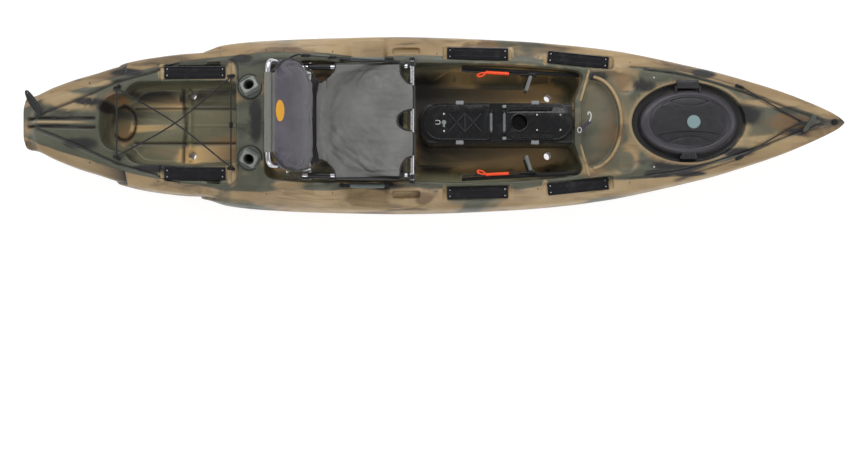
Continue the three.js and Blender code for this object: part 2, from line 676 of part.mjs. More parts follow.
function addHatch() {
  const hatch = groupAt(HATCH.x, 0, 0);
  addPart(hatch, "hatch_rim", "plastic", hatchRim());
  const gasket = oval(222, 146);
  gasket.holes.push(oval(212, 139));
  addPart(hatch, "hatch_gasket", "rubber", slab(gasket, 334 + GAP, LID.foot - GAP));
  addPart(hatch, "hatch_lid", "lid", hatchLid());
  const { y, z, pinR, reach } = HATCH_HINGE;
  addPart(hatch, "hatch_hinge_pin", "steel", rod([-reach, y, z], [reach, y, z], pinR, 16));
  addPart(hatch, "hatch_latch", "plastic", hatchLatch())
    .position.set(HATCH_LATCH.x, HATCH_LATCH.y, HATCH_LATCH.z);
  const cap = turned([[0, 0], [33, 0], [33, 1.5], [30, 3.5], [0, 3.5]], 28);
  addPart(hatch, "hatch_lid_cap", "cap", cap).position.set(17, 0, LID.top + GAP);
}

// ---------------------------------------------------------------- centre console

const LID_FLOOR = 326; // underside of both console lids
const LID_TOP = 342;
const REAR_LID = { rear: -45.5, front: 269, pinX: 276 };
const FRONT_LID = { rear: 345, front: 659.5, pinX: 338 };
const CONSOLE_PIN = { z: 340, r: 3, reach: 53 };
const CUP = { x: 408, r: 38, wall: 3.5, floor: 250 };

function pinAcross(x, radius, reach) {
  return rod([x, -reach, CONSOLE_PIN.z], [x, reach, CONSOLE_PIN.z], radius, 12);
}

function consolePod() {
  const { rear, front, half, top, seat, tubFloor } = CONSOLE;
  const body = join(slab(longRound(rear, front, half), seat + GAP, top, 7),
    slab(longRound(rear + 16, front - 16, 80), tubFloor, seat + 10, 5));
  const bays = [[-22, 262], [352, 636]].map(([x0, x1]) =>
    slab(longRound(x0, x1, 66, 40, 40), tubFloor + 8, ABOVE_DECK, 3));
  const lidSeats = [
    slab(longRound(rear + 6, 270, 84, 84, 2), LID_FLOOR - GAP, ABOVE_DECK, 7),
    slab(longRound(344, front - 6, 84, 2, 84), LID_FLOOR - GAP, ABOVE_DECK, 7),
  ];
  const slots = [[268, 285], [329, 346]].map((span) => block(span, [-47, 47], [330, ABOVE_DECK]));
  const ears = [REAR_LID.pinX, FRONT_LID.pinX].flatMap((x) => [[-57, -47.5], [47.5, 57]].map(
    (span) => join(block([x - 5, x + 5], span, [330, CONSOLE_PIN.z]),
      rod([x, span[0], CONSOLE_PIN.z], [x, span[1], CONSOLE_PIN.z], 5.8, 14))));
  const base = cut(body, ...bays, ...lidSeats, ...slots);
  return cut(join(base, ...ears), pinAcross(REAR_LID.pinX, CONSOLE_PIN.r + GAP, 60),
    pinAcross(FRONT_LID.pinX, CONSOLE_PIN.r + GAP, 60));
}

// A lid's plate with the hinge barrel past one of its ends.
function consoleLid({ rear, front, pinX }, rearR, frontR) {
  const plate = slab(longRound(rear, front, 83.5, rearR, frontR), LID_FLOOR, LID_TOP, 7);
  const barrel = rod([pinX, -45, CONSOLE_PIN.z], [pinX, 45, CONSOLE_PIN.z], 6.5, 14);
  const reach = pinX > front ? [front - 6, pinX] : [pinX, rear + 6];
  const arm = block(reach, [-45, 45], [CONSOLE_PIN.z - 6, LID_TOP]);
  return cut(join(plate, barrel, arm), pinAcross(pinX, CONSOLE_PIN.r + GAP, 60));
}

function frontLid() {
  const cup = rod([CUP.x, 0, CUP.floor], [CUP.x, 0, LID_FLOOR + 2], CUP.r + CUP.wall, 28);
  const hollow = rod([CUP.x, 0, CUP.floor + CUP.wall], [CUP.x, 0, ABOVE_DECK], CUP.r, 28);
  return cut(join(consoleLid(FRONT_LID, 3, 83), cup), hollow);
}

function rearLid() {
  const panel = block([70, 236], [-48, 48], [LID_TOP - 3, ABOVE_DECK]);
  return cut(consoleLid(REAR_LID, 83, 3), panel);
}

function addConsole() {
  const deck = groupAt(0, 0, 0);
  addPart(deck, "console_pod", "plastic", consolePod());
  addPart(deck, "console_lid_rear", "plastic", rearLid());
  addPart(deck, "console_lid_front", "plastic", frontLid());
  for (const [name, { pinX }] of [["rear", REAR_LID], ["front", FRONT_LID]]) {
    addPart(deck, `console_hinge_pin_${name}`, "steel",
      pinAcross(pinX, CONSOLE_PIN.r, CONSOLE_PIN.reach));
  }
  const lever = join(turned([[0, 0], [11, 0], [11, 4], [8, 6], [0, 6]], 16),
    block([-5, 5], [-22, 4], [1, 5]));
  addPart(deck, "console_latch", "clip", lever).position.set(54, 0, LID_TOP + GAP);
  const cover = slab(longRound(-65.5, 65.5, 46, 6, 6), 0, 3.5, 3);
  addPart(deck, "console_cover_plate", "plastic", cover).position.set(548.5, 0, LID_TOP + GAP);
  addConsoleRails();
  addConsoleClips();
}

// Slotted accessory rails along both sides of the front lid.
function addConsoleRails() {
  onBothSides((group, side) => {
    const rail = cut(block([-100, 100], [-8, 8], [0, 7]), block([-92, 92], [-2.5, 2.5], [3, 8]));
    addPart(group, `console_rail_${side}`, "plastic", rail).position.set(466, 66, LID_TOP + GAP);
  });
}

const CLIPS = [["rear", 128], ["front", 483]];
const CLIP_PIVOT = { y: 97, z: 308 };

// Over-centre clips that hook over the pod's rim.
function addConsoleClips() {
  onBothSides((group, side) => {
    for (const [name, x] of CLIPS) {
      const arm = block([-18, 18], [-4.9, 5], [-2, 34]);
      const hook = block([-18, 18], [-12, 5], [28.6, 34]);
      addPart(group, `console_clip_${name}_${side}`, "clip", join(arm, hook))
        .position.set(x, CLIP_PIVOT.y, CLIP_PIVOT.z);
    }
  });
}

// ---------------------------------------------------------------- foot braces

const BRACE = { x: 420, y: 249, z: 268, length: 561, turn: -3.26, pedalX: 40 };

// A channel rail on the footwell's wall, a pedal that slides along it, and the twist grip whose
// rod frees the pedal.
function addFootBraces() {
  onBothSides((group, side) => {
    const brace = groupAt(BRACE.x, BRACE.y, BRACE.z, group);
    brace.rotation.z = degrees(BRACE.turn);
    const half = BRACE.length / 2;
    const rail = cut(block([-half, half], [-8, 8], [-15, 15]),
      block([-half + 12, half - 12], [-9, -1], [-5, 5]));
    addPart(brace, `brace_rail_${side}`, "plastic", rail);
    addPart(brace, `brace_pedal_${side}`, "plastic", bracePedal()).position.x = BRACE.pedalX;
    addPart(brace, `brace_grip_${side}`, "orange", braceGrip()).position.set(BRACE.pedalX, -15, 20);
  });
}

function bracePedal() {
  const carriage = block([-38, 38], [-19, -8 - GAP], [-13, 13]);
  const tower = block([-6, 34], [-19, -8.5], [-13, 34]);
  const key = block([-30, 30], [-10, -2], [-4, 4]);
  const pad = block([-8, 8], [-92, -16], [-54, 50]).rotateZ(degrees(17)).translate(0, -6, -4);
  const arm = loft([
    [[-4, -16, -40], [34, -16, -13], [34, -16, 26], [-4, -16, 34]],
    [[-24, -80, -40], [-10, -80, -34], [-10, -80, 20], [-24, -80, 26]],
  ]);
  const rodAlong = rod([-320, -15, 20], [8, -15, 20], 4, 10);
  return join(carriage, tower, key, pad, arm, rodAlong);
}

function braceGrip() {
  const sleeve = rod([-206, 0, 0], [-96, 0, 0], 8, 12);
  const loop = sweep([[-208, 0, 0], [-226, -4, 0], [-244, -14, 0], [-240, -22, 0], [-222, -18, 0],
    [-206, -4, 0]], roundSection(3.5, 8), 18);
  return cut(join(sleeve, loop), rod([-300, 0, 0], [-80, 0, 0], 4 + GAP, 10));
}

// ---------------------------------------------------------------- seat

const SEAT = { tubeY: 252, backY: 246, pivotX: -570, pivotZ: 390 };
const SEAT_FRONT = { x: -94, z: 421, half: 292 };
const SEAT_BEND = { x: -490, z: 385 };
const SEAT_BACK = [[-572, 393], [-612, 424], [-630, 479], [-640, 576], [-646, 640], [-680, 700],
  [-714, 757]];

// A bent tube: straight runs between the points, with each corner rounded over a length of bend.
function bentTube(points, radius, bend, bendSteps = 4, sides = 10) {
  const corners = points.map((p) => new THREE.Vector3(...p));
  const path = [corners[0]];
  for (let i = 1; i + 1 < corners.length; i += 1) {
    const toward = (other) => other.clone().sub(corners[i]).setLength(
      Math.min(bend, other.distanceTo(corners[i]) * 0.48)).add(corners[i]);
    const arc = new THREE.QuadraticBezierCurve3(toward(corners[i - 1]), corners[i],
      toward(corners[i + 1]));
    path.push(...arc.getPoints(bendSteps));
  }
  path.push(corners.at(-1));
  return pipe(path, radius, sides);
}

// A round section carried along a path of vectors, with a ring at each that halves its corner.
function pipe(path, radius, sides) {
  const along = (i) => path[Math.min(i + 1, path.length - 1)].clone().sub(path[Math.max(i, 0)]);
  let normal = new THREE.Vector3(0, 0, 1);
  return loft(path.map((centre, i) => {
    const into = along(i - 1 < 0 ? 0 : i - 1).normalize();
    const out = i + 1 < path.length ? along(i).normalize() : into;
    const ahead = into.clone().add(out).normalize();
    normal = normal.clone().addScaledVector(ahead, -normal.dot(ahead)).normalize();
    const side = ahead.clone().cross(normal);
    return Array.from({ length: sides }, (_, k) => {
      const angle = (k / sides) * Math.PI * 2;
      return centre.clone().addScaledVector(normal, radius * Math.cos(angle))
        .addScaledVector(side, radius * Math.sin(angle)).toArray();
    });
  }));
}

// The base: a tube along each side, welded to a cross tube at the front.
function seatBaseTube() {
  const { tubeY, pivotX, pivotZ } = SEAT;
  const { x, z, half } = SEAT_FRONT;
  const sides = [tubeY, -tubeY].map((y) =>
    bentTube([[pivotX - 36, y, pivotZ], [SEAT_BEND.x, y, SEAT_BEND.z], [x, y, z]], TUBE_R, 45));
  const bores = [1, -1].map((end) =>
    rod([pivotX, end * tubeY - 20, pivotZ], [pivotX, end * tubeY + 20, pivotZ], 6 + GAP, 12));
  return cut(join(...sides, rod([x, -half, z], [x, half, z], TUBE_R)), ...bores);
}

// The front leg: a bent tube from side to side, standing on the floor of the seat well.
function seatFrontLeg() {
  const foot = 205 + 9 + GAP;
  return bentTube([[-160, 244, 396], [-150, 238, foot], [-150, -238, foot], [-160, -244, 396]], 9,
    34);
}

function seatBackTube() {
  const side = (y) => SEAT_BACK.map(([x, z]) => [x, y, z]);
  const { backY, pivotX, pivotZ } = SEAT;
  const tube = bentTube([...side(backY - 22), ...side(22 - backY).reverse()], TUBE_R, 50);
  const eyes = [1, -1].map((end) =>
    rod([pivotX, end * (backY - 33), pivotZ], [pivotX, end * (backY - 11), pivotZ], 14, 14));
  const bore = rod([pivotX, -300, pivotZ], [pivotX, 300, pivotZ], 6 + GAP, 12);
  return cut(join(tube, ...eyes), bore);
}

// Side view of the back pad, from the bottom up: a point on its front and one on its back.
const BACK_PAD = [[[-560, 462], [-604, 466]], [[-552, 480], [-613, 484]], [[-561, 530], [-622, 530]],
  [[-570, 580], [-626, 577]], [[-586, 636], [-632, 645]], [[-612, 695], [-652, 680]],
  [[-646, 738], [-676, 718]], [[-682, 764], [-697, 754]]];

// The back pad: a closed cushion that stands in front of the back's tube.
function seatBackPad() {
  const half = 240;
  return loft(BACK_PAD.map(([front, back]) => {
    const between = (t) => [mix(front[0], back[0], t), mix(front[1], back[1], t)];
    const outline = [[half - 16, 0], [half, 0.45], [half - 12, 1]].map(([y, t]) => [y, between(t)]);
    const port = outline.map(([y, [x, z]]) => [x, y, z]);
    const starboard = outline.map(([y, [x, z]]) => [x, -y, z]).reverse();
    return [...port, ...starboard];
  }));
}

const SLING = { half: 256, thick: 10, rise: TUBE_R + 3, rear: -534, front: -92 };

// The seat's fabric, pulled over the base tubes from side to side.
function seatSling() {
  const { half, thick, rise, rear, front } = SLING;
  const slope = (SEAT_FRONT.z - SEAT_BEND.z) / (SEAT_FRONT.x - SEAT_BEND.x);
  return loft([rear, SEAT_BEND.x, -300, front].map((x) => {
    const under = SEAT_BEND.z + rise + Math.max(0, x - SEAT_BEND.x) * slope;
    const edge = [[half, 0], [half + 4, thick / 2], [half, thick]];
    const port = edge.map(([y, h]) => [x, y, under + h]);
    const starboard = edge.map(([y, h]) => [x, -y, under + h]).reverse();
    return [...port, ...starboard];
  }));
}

function seatBracket() {
  const { pivotX, pivotZ } = SEAT;
  const side = new THREE.Shape([[-692, 350], [-566, 350], [-552, 384], [-560, 402], [-584, 404],
    [-640, 378], [-692, 366]].map(([x, z]) => new THREE.Vector2(x, z)));
  const plate = new THREE.ExtrudeGeometry(side, { depth: 5, bevelEnabled: false })
    .rotateX(Math.PI / 2).translate(0, 269, 0);
  return cut(plate, rod([pivotX, 260, pivotZ], [pivotX, 290, pivotZ], 6 + GAP, 12));
}

function seatStrap() {
  return sweep([[-640, 0, 622], [-566, 0, 583], [-448, 0, 528], [-330, 0, 482], [-224, 0, 440]],
    flatSection(2.5, 24), 10);
}

function addSeat() {
  const { pivotX, pivotZ } = SEAT;
  addPart(kayak, "seat_base_tube", "tube", seatBaseTube());
  addPart(kayak, "seat_pivot_rod", "steel",
    rod([pivotX, -272, pivotZ], [pivotX, 272, pivotZ], 6, 12));
  addPart(kayak, "seat_front_leg", "tube", seatFrontLeg());
  addPart(kayak, "seat_sling", "fabric", seatSling());
  addPart(kayak, "seat_back_tube", "tube", seatBackTube());
  addPart(kayak, "seat_back_pad", "fabric", seatBackPad());
  onBothSides((group, side) => {
    addPart(group, `seat_bracket_${side}`, "plastic", seatBracket());
    addPart(group, `seat_strap_${side}`, "webbing", seatStrap()).position.y = 274;
  });
}

// ---------------------------------------------------------------- the whole kayak

addHull();
addSkidPlate();
addGearPlates();
addRodHolders();
addPadEyes();
addBungee();
addBowCord();
addBowToggle();
addDrainPlug();
addSideHandles();
addSternHandle();
addKeeperStrap();
addHatch();
addConsole();
addFootBraces();
addSeat();

export default kayak;
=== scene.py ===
# Looks of the sit-on-top fishing kayak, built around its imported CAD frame.
# Metres. +X points to the bow, +Y to port and +Z up, as in the frame.
import math
import bpy
import bmesh
import numpy as np
from mathutils import Matrix, Vector, noise


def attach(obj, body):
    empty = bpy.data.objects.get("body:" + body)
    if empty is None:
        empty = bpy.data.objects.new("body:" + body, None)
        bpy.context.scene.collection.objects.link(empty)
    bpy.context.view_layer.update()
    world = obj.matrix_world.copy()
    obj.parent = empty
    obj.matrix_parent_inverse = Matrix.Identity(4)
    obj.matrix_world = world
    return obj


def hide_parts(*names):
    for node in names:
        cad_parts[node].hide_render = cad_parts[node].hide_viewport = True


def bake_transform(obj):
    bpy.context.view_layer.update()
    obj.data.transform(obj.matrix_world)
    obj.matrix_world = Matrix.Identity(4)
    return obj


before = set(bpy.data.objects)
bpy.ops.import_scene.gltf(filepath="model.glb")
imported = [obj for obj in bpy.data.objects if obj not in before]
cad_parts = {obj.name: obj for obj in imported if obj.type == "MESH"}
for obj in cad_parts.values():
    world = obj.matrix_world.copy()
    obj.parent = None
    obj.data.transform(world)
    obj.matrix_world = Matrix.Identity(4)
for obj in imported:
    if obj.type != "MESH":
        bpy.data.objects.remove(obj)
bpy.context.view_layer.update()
SIDES = (("port", 1), ("starboard", -1))

# ---------------------------------------------------------------- driving dimensions

# Lines of the hull as (x, value) points from stern to bow.
LINES = {
    "beam": [(-1.943, .077), (-1.932, .12), (-1.915, .13), (-1.89, .133), (-1.8, .176),
             (-1.7, .219), (-1.6, .255), (-1.5, .295), (-1.4, .32), (-1.3, .336), (-1.2, .35),
             (-1.1, .362), (-1, .392), (-.9, .406), (-.8, .414), (-.6, .424), (-.4, .429),
             (-.15, .433), (.05, .429), (.25, .421), (.45, .41), (.65, .392), (.85, .365),
             (1, .336), (1.2, .291), (1.35, .254), (1.5, .207), (1.6, .173), (1.7, .134),
             (1.8, .089), (1.86, .06), (1.9, .039), (1.925, .022), (1.943, .004)],
    "keel": [(-1.943, .254), (-1.928, .235), (-1.882, .209), (-1.857, .138), (-1.838, .094),
             (-1.812, .061), (-1.63, .047), (-1.4, .038), (-1, .028), (-.6, .019), (0, .005),
             (.3, 0), (.9, 0), (1.2, .006), (1.5, .019), (1.687, .026), (1.765, .062),
             (1.828, .124), (1.882, .218), (1.917, .29), (1.943, .326)],
    "chine": [(-1.943, .262), (-1.882, .205), (-1.773, .17), (-1.644, .135), (-1.321, .088),
              (-1, .075), (-.5, .07), (0, .063), (.4, .065), (.79, .09), (1.048, .132),
              (1.257, .165), (1.491, .202), (1.646, .25), (1.804, .297), (1.919, .32),
              (1.943, .332)],
    "chine_share": [(-1.943, .8), (-1.773, .8), (-1.2, .9), (-.5, .93), (.5, .93), (1.257, .8),
                    (1.7, .72), (1.943, .72)],
    "tuck_share": [(-1.943, .35), (-1.773, .35), (-1.321, .62), (-1, .72), (-.4, .78), (.5, .78),
                   (1.257, .42), (1.7, .3), (1.943, .3)],
    "seam": [(-1.943, .3), (-1.85, .316), (-1.707, .3), (-1.462, .274), (-1.2, .282), (-.9, .276),
             (-.59, .266), (-.3, .277), (.1, .271), (.6, .272), (.8, .285), (.95, .296),
             (1.17, .293), (1.34, .298), (1.5, .312), (1.7, .33), (1.85, .343), (1.943, .337)],
    "rim": [(-1.943, .306), (-1.9, .322), (-1.85, .362), (-1.8, .36), (-1.55, .33), (-1.4, .325),
            (-1, .326), (-.9, .342), (-.8, .374), (-.695, .391), (-.57, .392), (-.5, .375),
            (-.42, .325), (-.375, .282), (-.24, .282), (-.205, .333), (-.1, .35), (0, .347),
            (.09, .333), (.2, .322), (.56, .32), (.73, .328), (.89, .35), (.97, .352),
            (1.2, .348), (1.34, .35), (1.5, .355), (1.7, .362), (1.8, .368), (1.85, .358),
            (1.943, .341)],
    "rim_half": [(-1.943, .06), (-1.85, .092), (-1.7, .14), (-1.4, .235), (-1.12, .283),
                 (-.9, .31), (-.7, .318), (-.5, .312), (-.3, .305), (0, .302), (.4, .298),
                 (.6, .278), (.8, .265), (.9, .262), (1.1, .24), (1.293, .193), (1.465, .146),
                 (1.721, .054), (1.858, .008), (1.943, .002)],
    "crown": [(-1.943, .306), (-1.9, .326), (-1.85, .369), (-1.8, .367), (-1.56, .338),
              (-.9, .348), (-.8, .35), (.7, .33), (.9, .345), (1.2, .352), (1.45, .357),
              (1.8, .374), (1.84, .36), (1.943, .345)],
}
SEAM_SHARE = .955  # half-width at the seam, as a share of the widest half-width
TUCK_RISE = .45  # height of the tuck between the keel and the chine
WIDEST_RISE = .55  # height of the widest line between the chine and the seam
BOTTOM_CURVE = 2
SHOULDER_CURVE = .75
ABOVE_DECK = .48  # a height that every cut from above starts over

# Wells cut from above: for each level its height and its outline as (x, half-width).
TANK_WELL = [
    (.17, [(-1.548, .05), (-1.53, .088), (-1.495, .108), (-1.452, .112), (-1.43, .15),
           (-1.39, .172), (-1.15, .18), (-.965, .18), (-.948, .155)]),
    (.215, [(-1.562, .058), (-1.545, .1), (-1.505, .126), (-1.455, .132), (-1.434, .168),
            (-1.395, .19), (-1.15, .194), (-.95, .194), (-.932, .168)]),
    (ABOVE_DECK, [(-1.582, .07), (-1.562, .118), (-1.515, .142), (-1.458, .147), (-1.44, .184),
                  (-1.4, .203), (-1.15, .205), (-.935, .205), (-.918, .18)]),
]
SEAT_WELL = [
    (.205, [(-.772, .2), (-.755, .236), (-.6, .258), (-.3, .256), (-.12, .252), (-.09, .246)]),
    (.25, [(-.782, .215), (-.765, .258), (-.6, .276), (-.3, .274), (-.12, .272), (-.09, .266)]),
    (ABOVE_DECK, [(-.797, .228), (-.78, .27), (-.6, .287), (-.3, .285), (-.12, .285),
                  (-.09, .284)]),
]
FOOTWELL = [
    (.125, [(-.095, .196), (-.06, .206), (.137, .206), (.4, .202), (.6, .186), (.668, .17)]),
    (.2, [(-.122, .248), (-.07, .274), (.137, .279), (.4, .273), (.6, .257), (.7, .242)]),
    (ABOVE_DECK, [(-.15, .255), (-.09, .284), (.137, .286), (.4, .28), (.6, .264), (.722, .246)]),
]
SCUPPERS = [(-1.173, .147), (-.28, .15), (.568, .143)]
SCUPPER_R = .019
HATCH_X = 1.205
LID_LONG, LID_WIDE = .2275, .1505
ROD_HOLDER = Vector((-.857, .168, .352))
ROD_AXIS = Vector((-.14, math.sin(math.radians(18)), math.cos(math.radians(18)))).normalized()
GEAR_PLATES = [("rear", -1.125, .24, .319, 0), ("middle", .214, .33, .303, -1),
               ("front", .69, .3, .311, -6)]
GEAR_PLATE_LENGTH, GEAR_PLATE_WIDTH = .29, .058
TUBE_R = .011
SEAT_Y = .252
SEAT_FRONT_X, SEAT_FRONT_Z = -.094, .421
SEAT_BEND_X, SEAT_BEND_Z = -.49, .385

# ---------------------------------------------------------------- numbers and curves


def through(points):
    """A smooth curve through (x, value) points that never overshoots them."""
    xs, values = np.array(points, float).T
    slope = np.diff(values) / np.diff(xs)
    before, after = slope[:-1], slope[1:]
    safe = np.where(before * after > 0, before + after, 1)
    inner = np.where(before * after > 0, 2 * before * after / safe, 0)
    tangent = np.concatenate([slope[:1], inner, slope[-1:]])

    def at(x):
        x = np.clip(x, xs[0], xs[-1])
        i = np.clip(np.searchsorted(xs, x, side="right") - 1, 0, len(xs) - 2)
        span = xs[i + 1] - xs[i]
        t = (x - xs[i]) / span
        rise = values[i + 1] - values[i]
        a = span * tangent[i] - rise
        b = rise - span * tangent[i + 1]
        return values[i] + t * rise + t * (1 - t) * ((1 - t) * a + t * b)

    return at


def mix(a, b, t):
    """The value a share t of the way from a to b."""
    return a + (b - a) * t


def step(low, high, x):
    """Runs smoothly from 0 at low to 1 at high."""
    t = np.clip((x - low) / (high - low), 0, 1)
    return t * t * (3 - 2 * t)


def rounded(points, radius, steps=4, closed=True):
    """The polyline with each corner drawn as an arc that starts radius before it."""
    points = [Vector(p) for p in points]
    made = []
    for i, corner in enumerate(points):
        if not closed and i in (0, len(points) - 1):
            made.append(corner)
            continue
        ends = []
        for other in (points[i - 1], points[(i + 1) % len(points)]):
            toward = other - corner
            ends.append(corner + toward.normalized() * min(radius, toward.length * .45))
        for k in range(steps + 1):
            t = k / steps
            made.append(ends[0] * (1 - t) ** 2 + corner * (2 * t * (1 - t)) + ends[1] * t * t)
    return made


def smooth_path(points, spans=6):
    """A curve that passes through every point."""
    p = [Vector(q) for q in points]
    p = [p[0] * 2 - p[1], *p, p[-1] * 2 - p[-2]]
    made = []
    for i in range(1, len(p) - 2):
        for k in range(spans):
            t = k / spans
            made.append((p[i] * 2 + (p[i + 1] - p[i - 1]) * t
                         + (p[i - 1] * 2 - p[i] * 5 + p[i + 1] * 4 - p[i + 2]) * t ** 2
                         + (p[i] * 3 - p[i - 1] - p[i + 1] * 3 + p[i + 2]) * t ** 3) / 2)
    return made + [p[-2]]


def mirrored(points, side):
    """Points given for the port side, on the given side."""
    return [Vector((p[0], p[1] * side, p[2])) for p in points]


line = {name: through(points) for name, points in LINES.items()}


def section_at(x):
    """Half-widths and heights of the hull's lines at one station."""
    beam, keel, seam = line["beam"](x), line["keel"](x), line["seam"](x)
    chine = np.maximum(line["chine"](x), keel + .006)
    seam_half = beam * SEAM_SHARE
    return {
        "beam": beam, "keel": keel, "chine": chine, "seam": seam, "seam_half": seam_half,
        "rim": line["rim"](x), "crown": line["crown"](x),
        "rim_half": np.minimum(line["rim_half"](x), seam_half * .9),
        "chine_half": beam * line["chine_share"](x), "tuck_half": beam * line["tuck_share"](x),
        "tuck": mix(keel, chine, TUCK_RISE), "widest": mix(chine, seam, WIDEST_RISE),
    }


def deck_height(x, y):
    """Height of the deck before the wells are cut."""
    s = section_at(x)
    out = np.abs(y)
    share = out / s["rim_half"]
    inner = s["rim"] + (s["crown"] - s["rim"]) * (1 - share ** 2)
    inward = np.clip((s["seam_half"] - out) / (s["seam_half"] - s["rim_half"]), 0, 1)
    return np.where(share <= 1, inner, mix(s["seam"], s["rim"], inward ** SHOULDER_CURVE))


# ---------------------------------------------------------------- meshes


def new_object(name, vertices, faces):
    mesh = bpy.data.meshes.new(name)
    mesh.from_pydata([tuple(v) for v in vertices], [], faces)
    mesh.update()
    obj = bpy.data.objects.new(name, mesh)
    bpy.context.scene.collection.objects.link(obj)
    return obj


def loft(rings, closed=False):
    """Vertices and faces of a skin over rings of the same count, with capped or joined ends."""
    count = len(rings[0])
    vertices = [v for ring in rings for v in ring]
    faces = []
    last = len(rings) if closed else len(rings) - 1
    for i in range(last):
        for j in range(count):
            a, b = i * count + j, i * count + (j + 1) % count
            c, d = (i + 1) % len(rings) * count + (j + 1) % count, (i + 1) % len(rings) * count + j
            faces.append((a, b, c, d))
    if not closed:
        faces.append(tuple(reversed(range(count))))
        faces.append(tuple(range((len(rings) - 1) * count, len(rings) * count)))
    return vertices, faces


def faced_out(obj):
    """Turns every face of a closed mesh outwards."""
    made = bmesh.new()
    made.from_mesh(obj.data)
    bmesh.ops.recalc_face_normals(made, faces=made.faces)
    made.to_mesh(obj.data)
    made.free()
    return obj


def modify(obj, kind, **settings):
    """Adds a modifier and leaves it live."""
    modifier = obj.modifiers.new(kind.title(), kind)
    for name, value in settings.items():
        setattr(modifier, name, value)
    return obj


def apply(obj):
    """Bakes the object's modifiers into its mesh."""
    graph = bpy.context.evaluated_depsgraph_get()
    mesh = bpy.data.meshes.new_from_object(obj.evaluated_get(graph))
    obj.modifiers.clear()
    obj.data = mesh
    return obj


def coordinates(obj):
    """The mesh's vertices as an array with a row for each."""
    co = np.zeros(len(obj.data.vertices) * 3)
    obj.data.vertices.foreach_get("co", co)
    return co.reshape(-1, 3)


def set_coordinates(obj, co):
    obj.data.vertices.foreach_set("co", np.asarray(co, np.float32).ravel())
    obj.data.update()


def vertex_normals(obj):
    normal = np.zeros(len(obj.data.vertices) * 3)
    obj.data.vertices.foreach_get("normal", normal)
    return normal.reshape(-1, 3)


def joined(name, objects):
    """One object from several, all of them at the origin."""
    made = bmesh.new()
    for obj in objects:
        made.from_mesh(obj.data)
        bpy.data.objects.remove(obj)
    mesh = bpy.data.meshes.new(name)
    made.to_mesh(mesh)
    made.free()
    whole = bpy.data.objects.new(name, mesh)
    bpy.context.scene.collection.objects.link(whole)
    return whole


def finished(obj, material, body, replaces=(), angle=35, blend=None):
    """Gives a piece its finish, its shading and the body that it moves with; with a blend it gets
    no body, only its place baked into its mesh.
    """
    obj.data.materials.clear()
    obj.data.materials.append(material)
    obj.data.shade_smooth()
    obj.data.set_sharp_from_angle(angle=math.radians(angle))
    if blend:
        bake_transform(obj)
    else:
        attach(obj, body)
    if replaces:
        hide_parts(*replaces)
    return obj


def frames_along(path):
    """For each point of a path its direction and two normals that don't twist."""
    path = [Vector(p) for p in path]
    ahead = [(path[min(i + 1, len(path) - 1)] - path[max(i - 1, 0)]).normalized()
             for i in range(len(path))]
    normal = ahead[0].orthogonal().normalized()
    if abs(ahead[0].z) < .9:
        normal = Vector((0, 0, 1))
    made = []
    for point, direction in zip(path, ahead):
        normal = (normal - direction * normal.dot(direction)).normalized()
        made.append((point, direction, normal, direction.cross(normal)))
    return made


def tube(name, path, radius, sides=14):
    """A round tube along a path. The radius may be a function of the share of its length."""
    frames = frames_along(path)
    rings = []
    for i, (point, _, up, side) in enumerate(frames):
        r = radius(i / (len(frames) - 1)) if callable(radius) else radius
        turns = [2 * math.pi * k / sides for k in range(sides)]
        rings.append([point + up * (r * math.cos(a)) + side * (r * math.sin(a)) for a in turns])
    return new_object(name, *loft(rings))


def strap(name, path, width, thick, across=None):
    """A flat strap along a path. Its width lies along across, or sideways where none is given."""
    rings = []
    for point, ahead, up, side in frames_along(path):
        if across is not None:
            side = (Vector(across) - ahead * Vector(across).dot(ahead)).normalized()
            up = side.cross(ahead)
        half, flat = width / 2, thick / 2
        outline = [(-half, -flat * .5), (-half * .94, -flat), (half * .94, -flat),
                   (half, -flat * .5), (half, flat * .5), (half * .94, flat),
                   (-half * .94, flat), (-half, flat * .5)]
        rings.append([point + side * a + up * b for a, b in outline])
    return new_object(name, *loft(rings))


def turned(name, profile, segments=48, at=(0, 0, 0), axis=(0, 0, 1)):
    """A piece turned about an axis from (radius, height) points that start and end on it."""
    turn = Vector((0, 0, 1)).rotation_difference(Vector(axis)).to_matrix()
    at = Vector(at)
    vertices, rows = [], []
    for r, z in profile:
        if r < 1e-6:
            vertices.append(at + turn @ Vector((0, 0, z)))
            rows.append([len(vertices) - 1] * segments)
            continue
        row = []
        for k in range(segments):
            a = 2 * math.pi * k / segments
            vertices.append(at + turn @ Vector((r * math.cos(a), r * math.sin(a), z)))
            row.append(len(vertices) - 1)
        rows.append(row)
    faces = []
    for low, high in zip(rows, rows[1:]):
        for k in range(segments):
            n = (k + 1) % segments
            quad = [low[k], low[n], high[n], high[k]]
            face = tuple(dict.fromkeys(quad))
            if len(face) > 2:
                faces.append(face)
    return faced_out(new_object(name, vertices, faces))


def prism(name, outline, low, high, bevel=0, segments=2):
    """An outline of (x, y) points raised from one height to another, with softened edges."""
    rings = [[Vector((x, y, z)) for x, y, *_ in outline] for z in (low, high)]
    obj = faced_out(new_object(name, *loft(rings)))
    if bevel:
        modify(obj, "BEVEL", width=bevel, segments=segments, limit_method="ANGLE",
               angle_limit=math.radians(40))
        apply(obj)
    return obj


def rectangle(x0, x1, y0, y1, radius=.004, steps=4):
    """A plan outline with rounded corners."""
    corners = [(x0, y0, 0), (x1, y0, 0), (x1, y1, 0), (x0, y1, 0)]
    return rounded(corners, radius, steps)


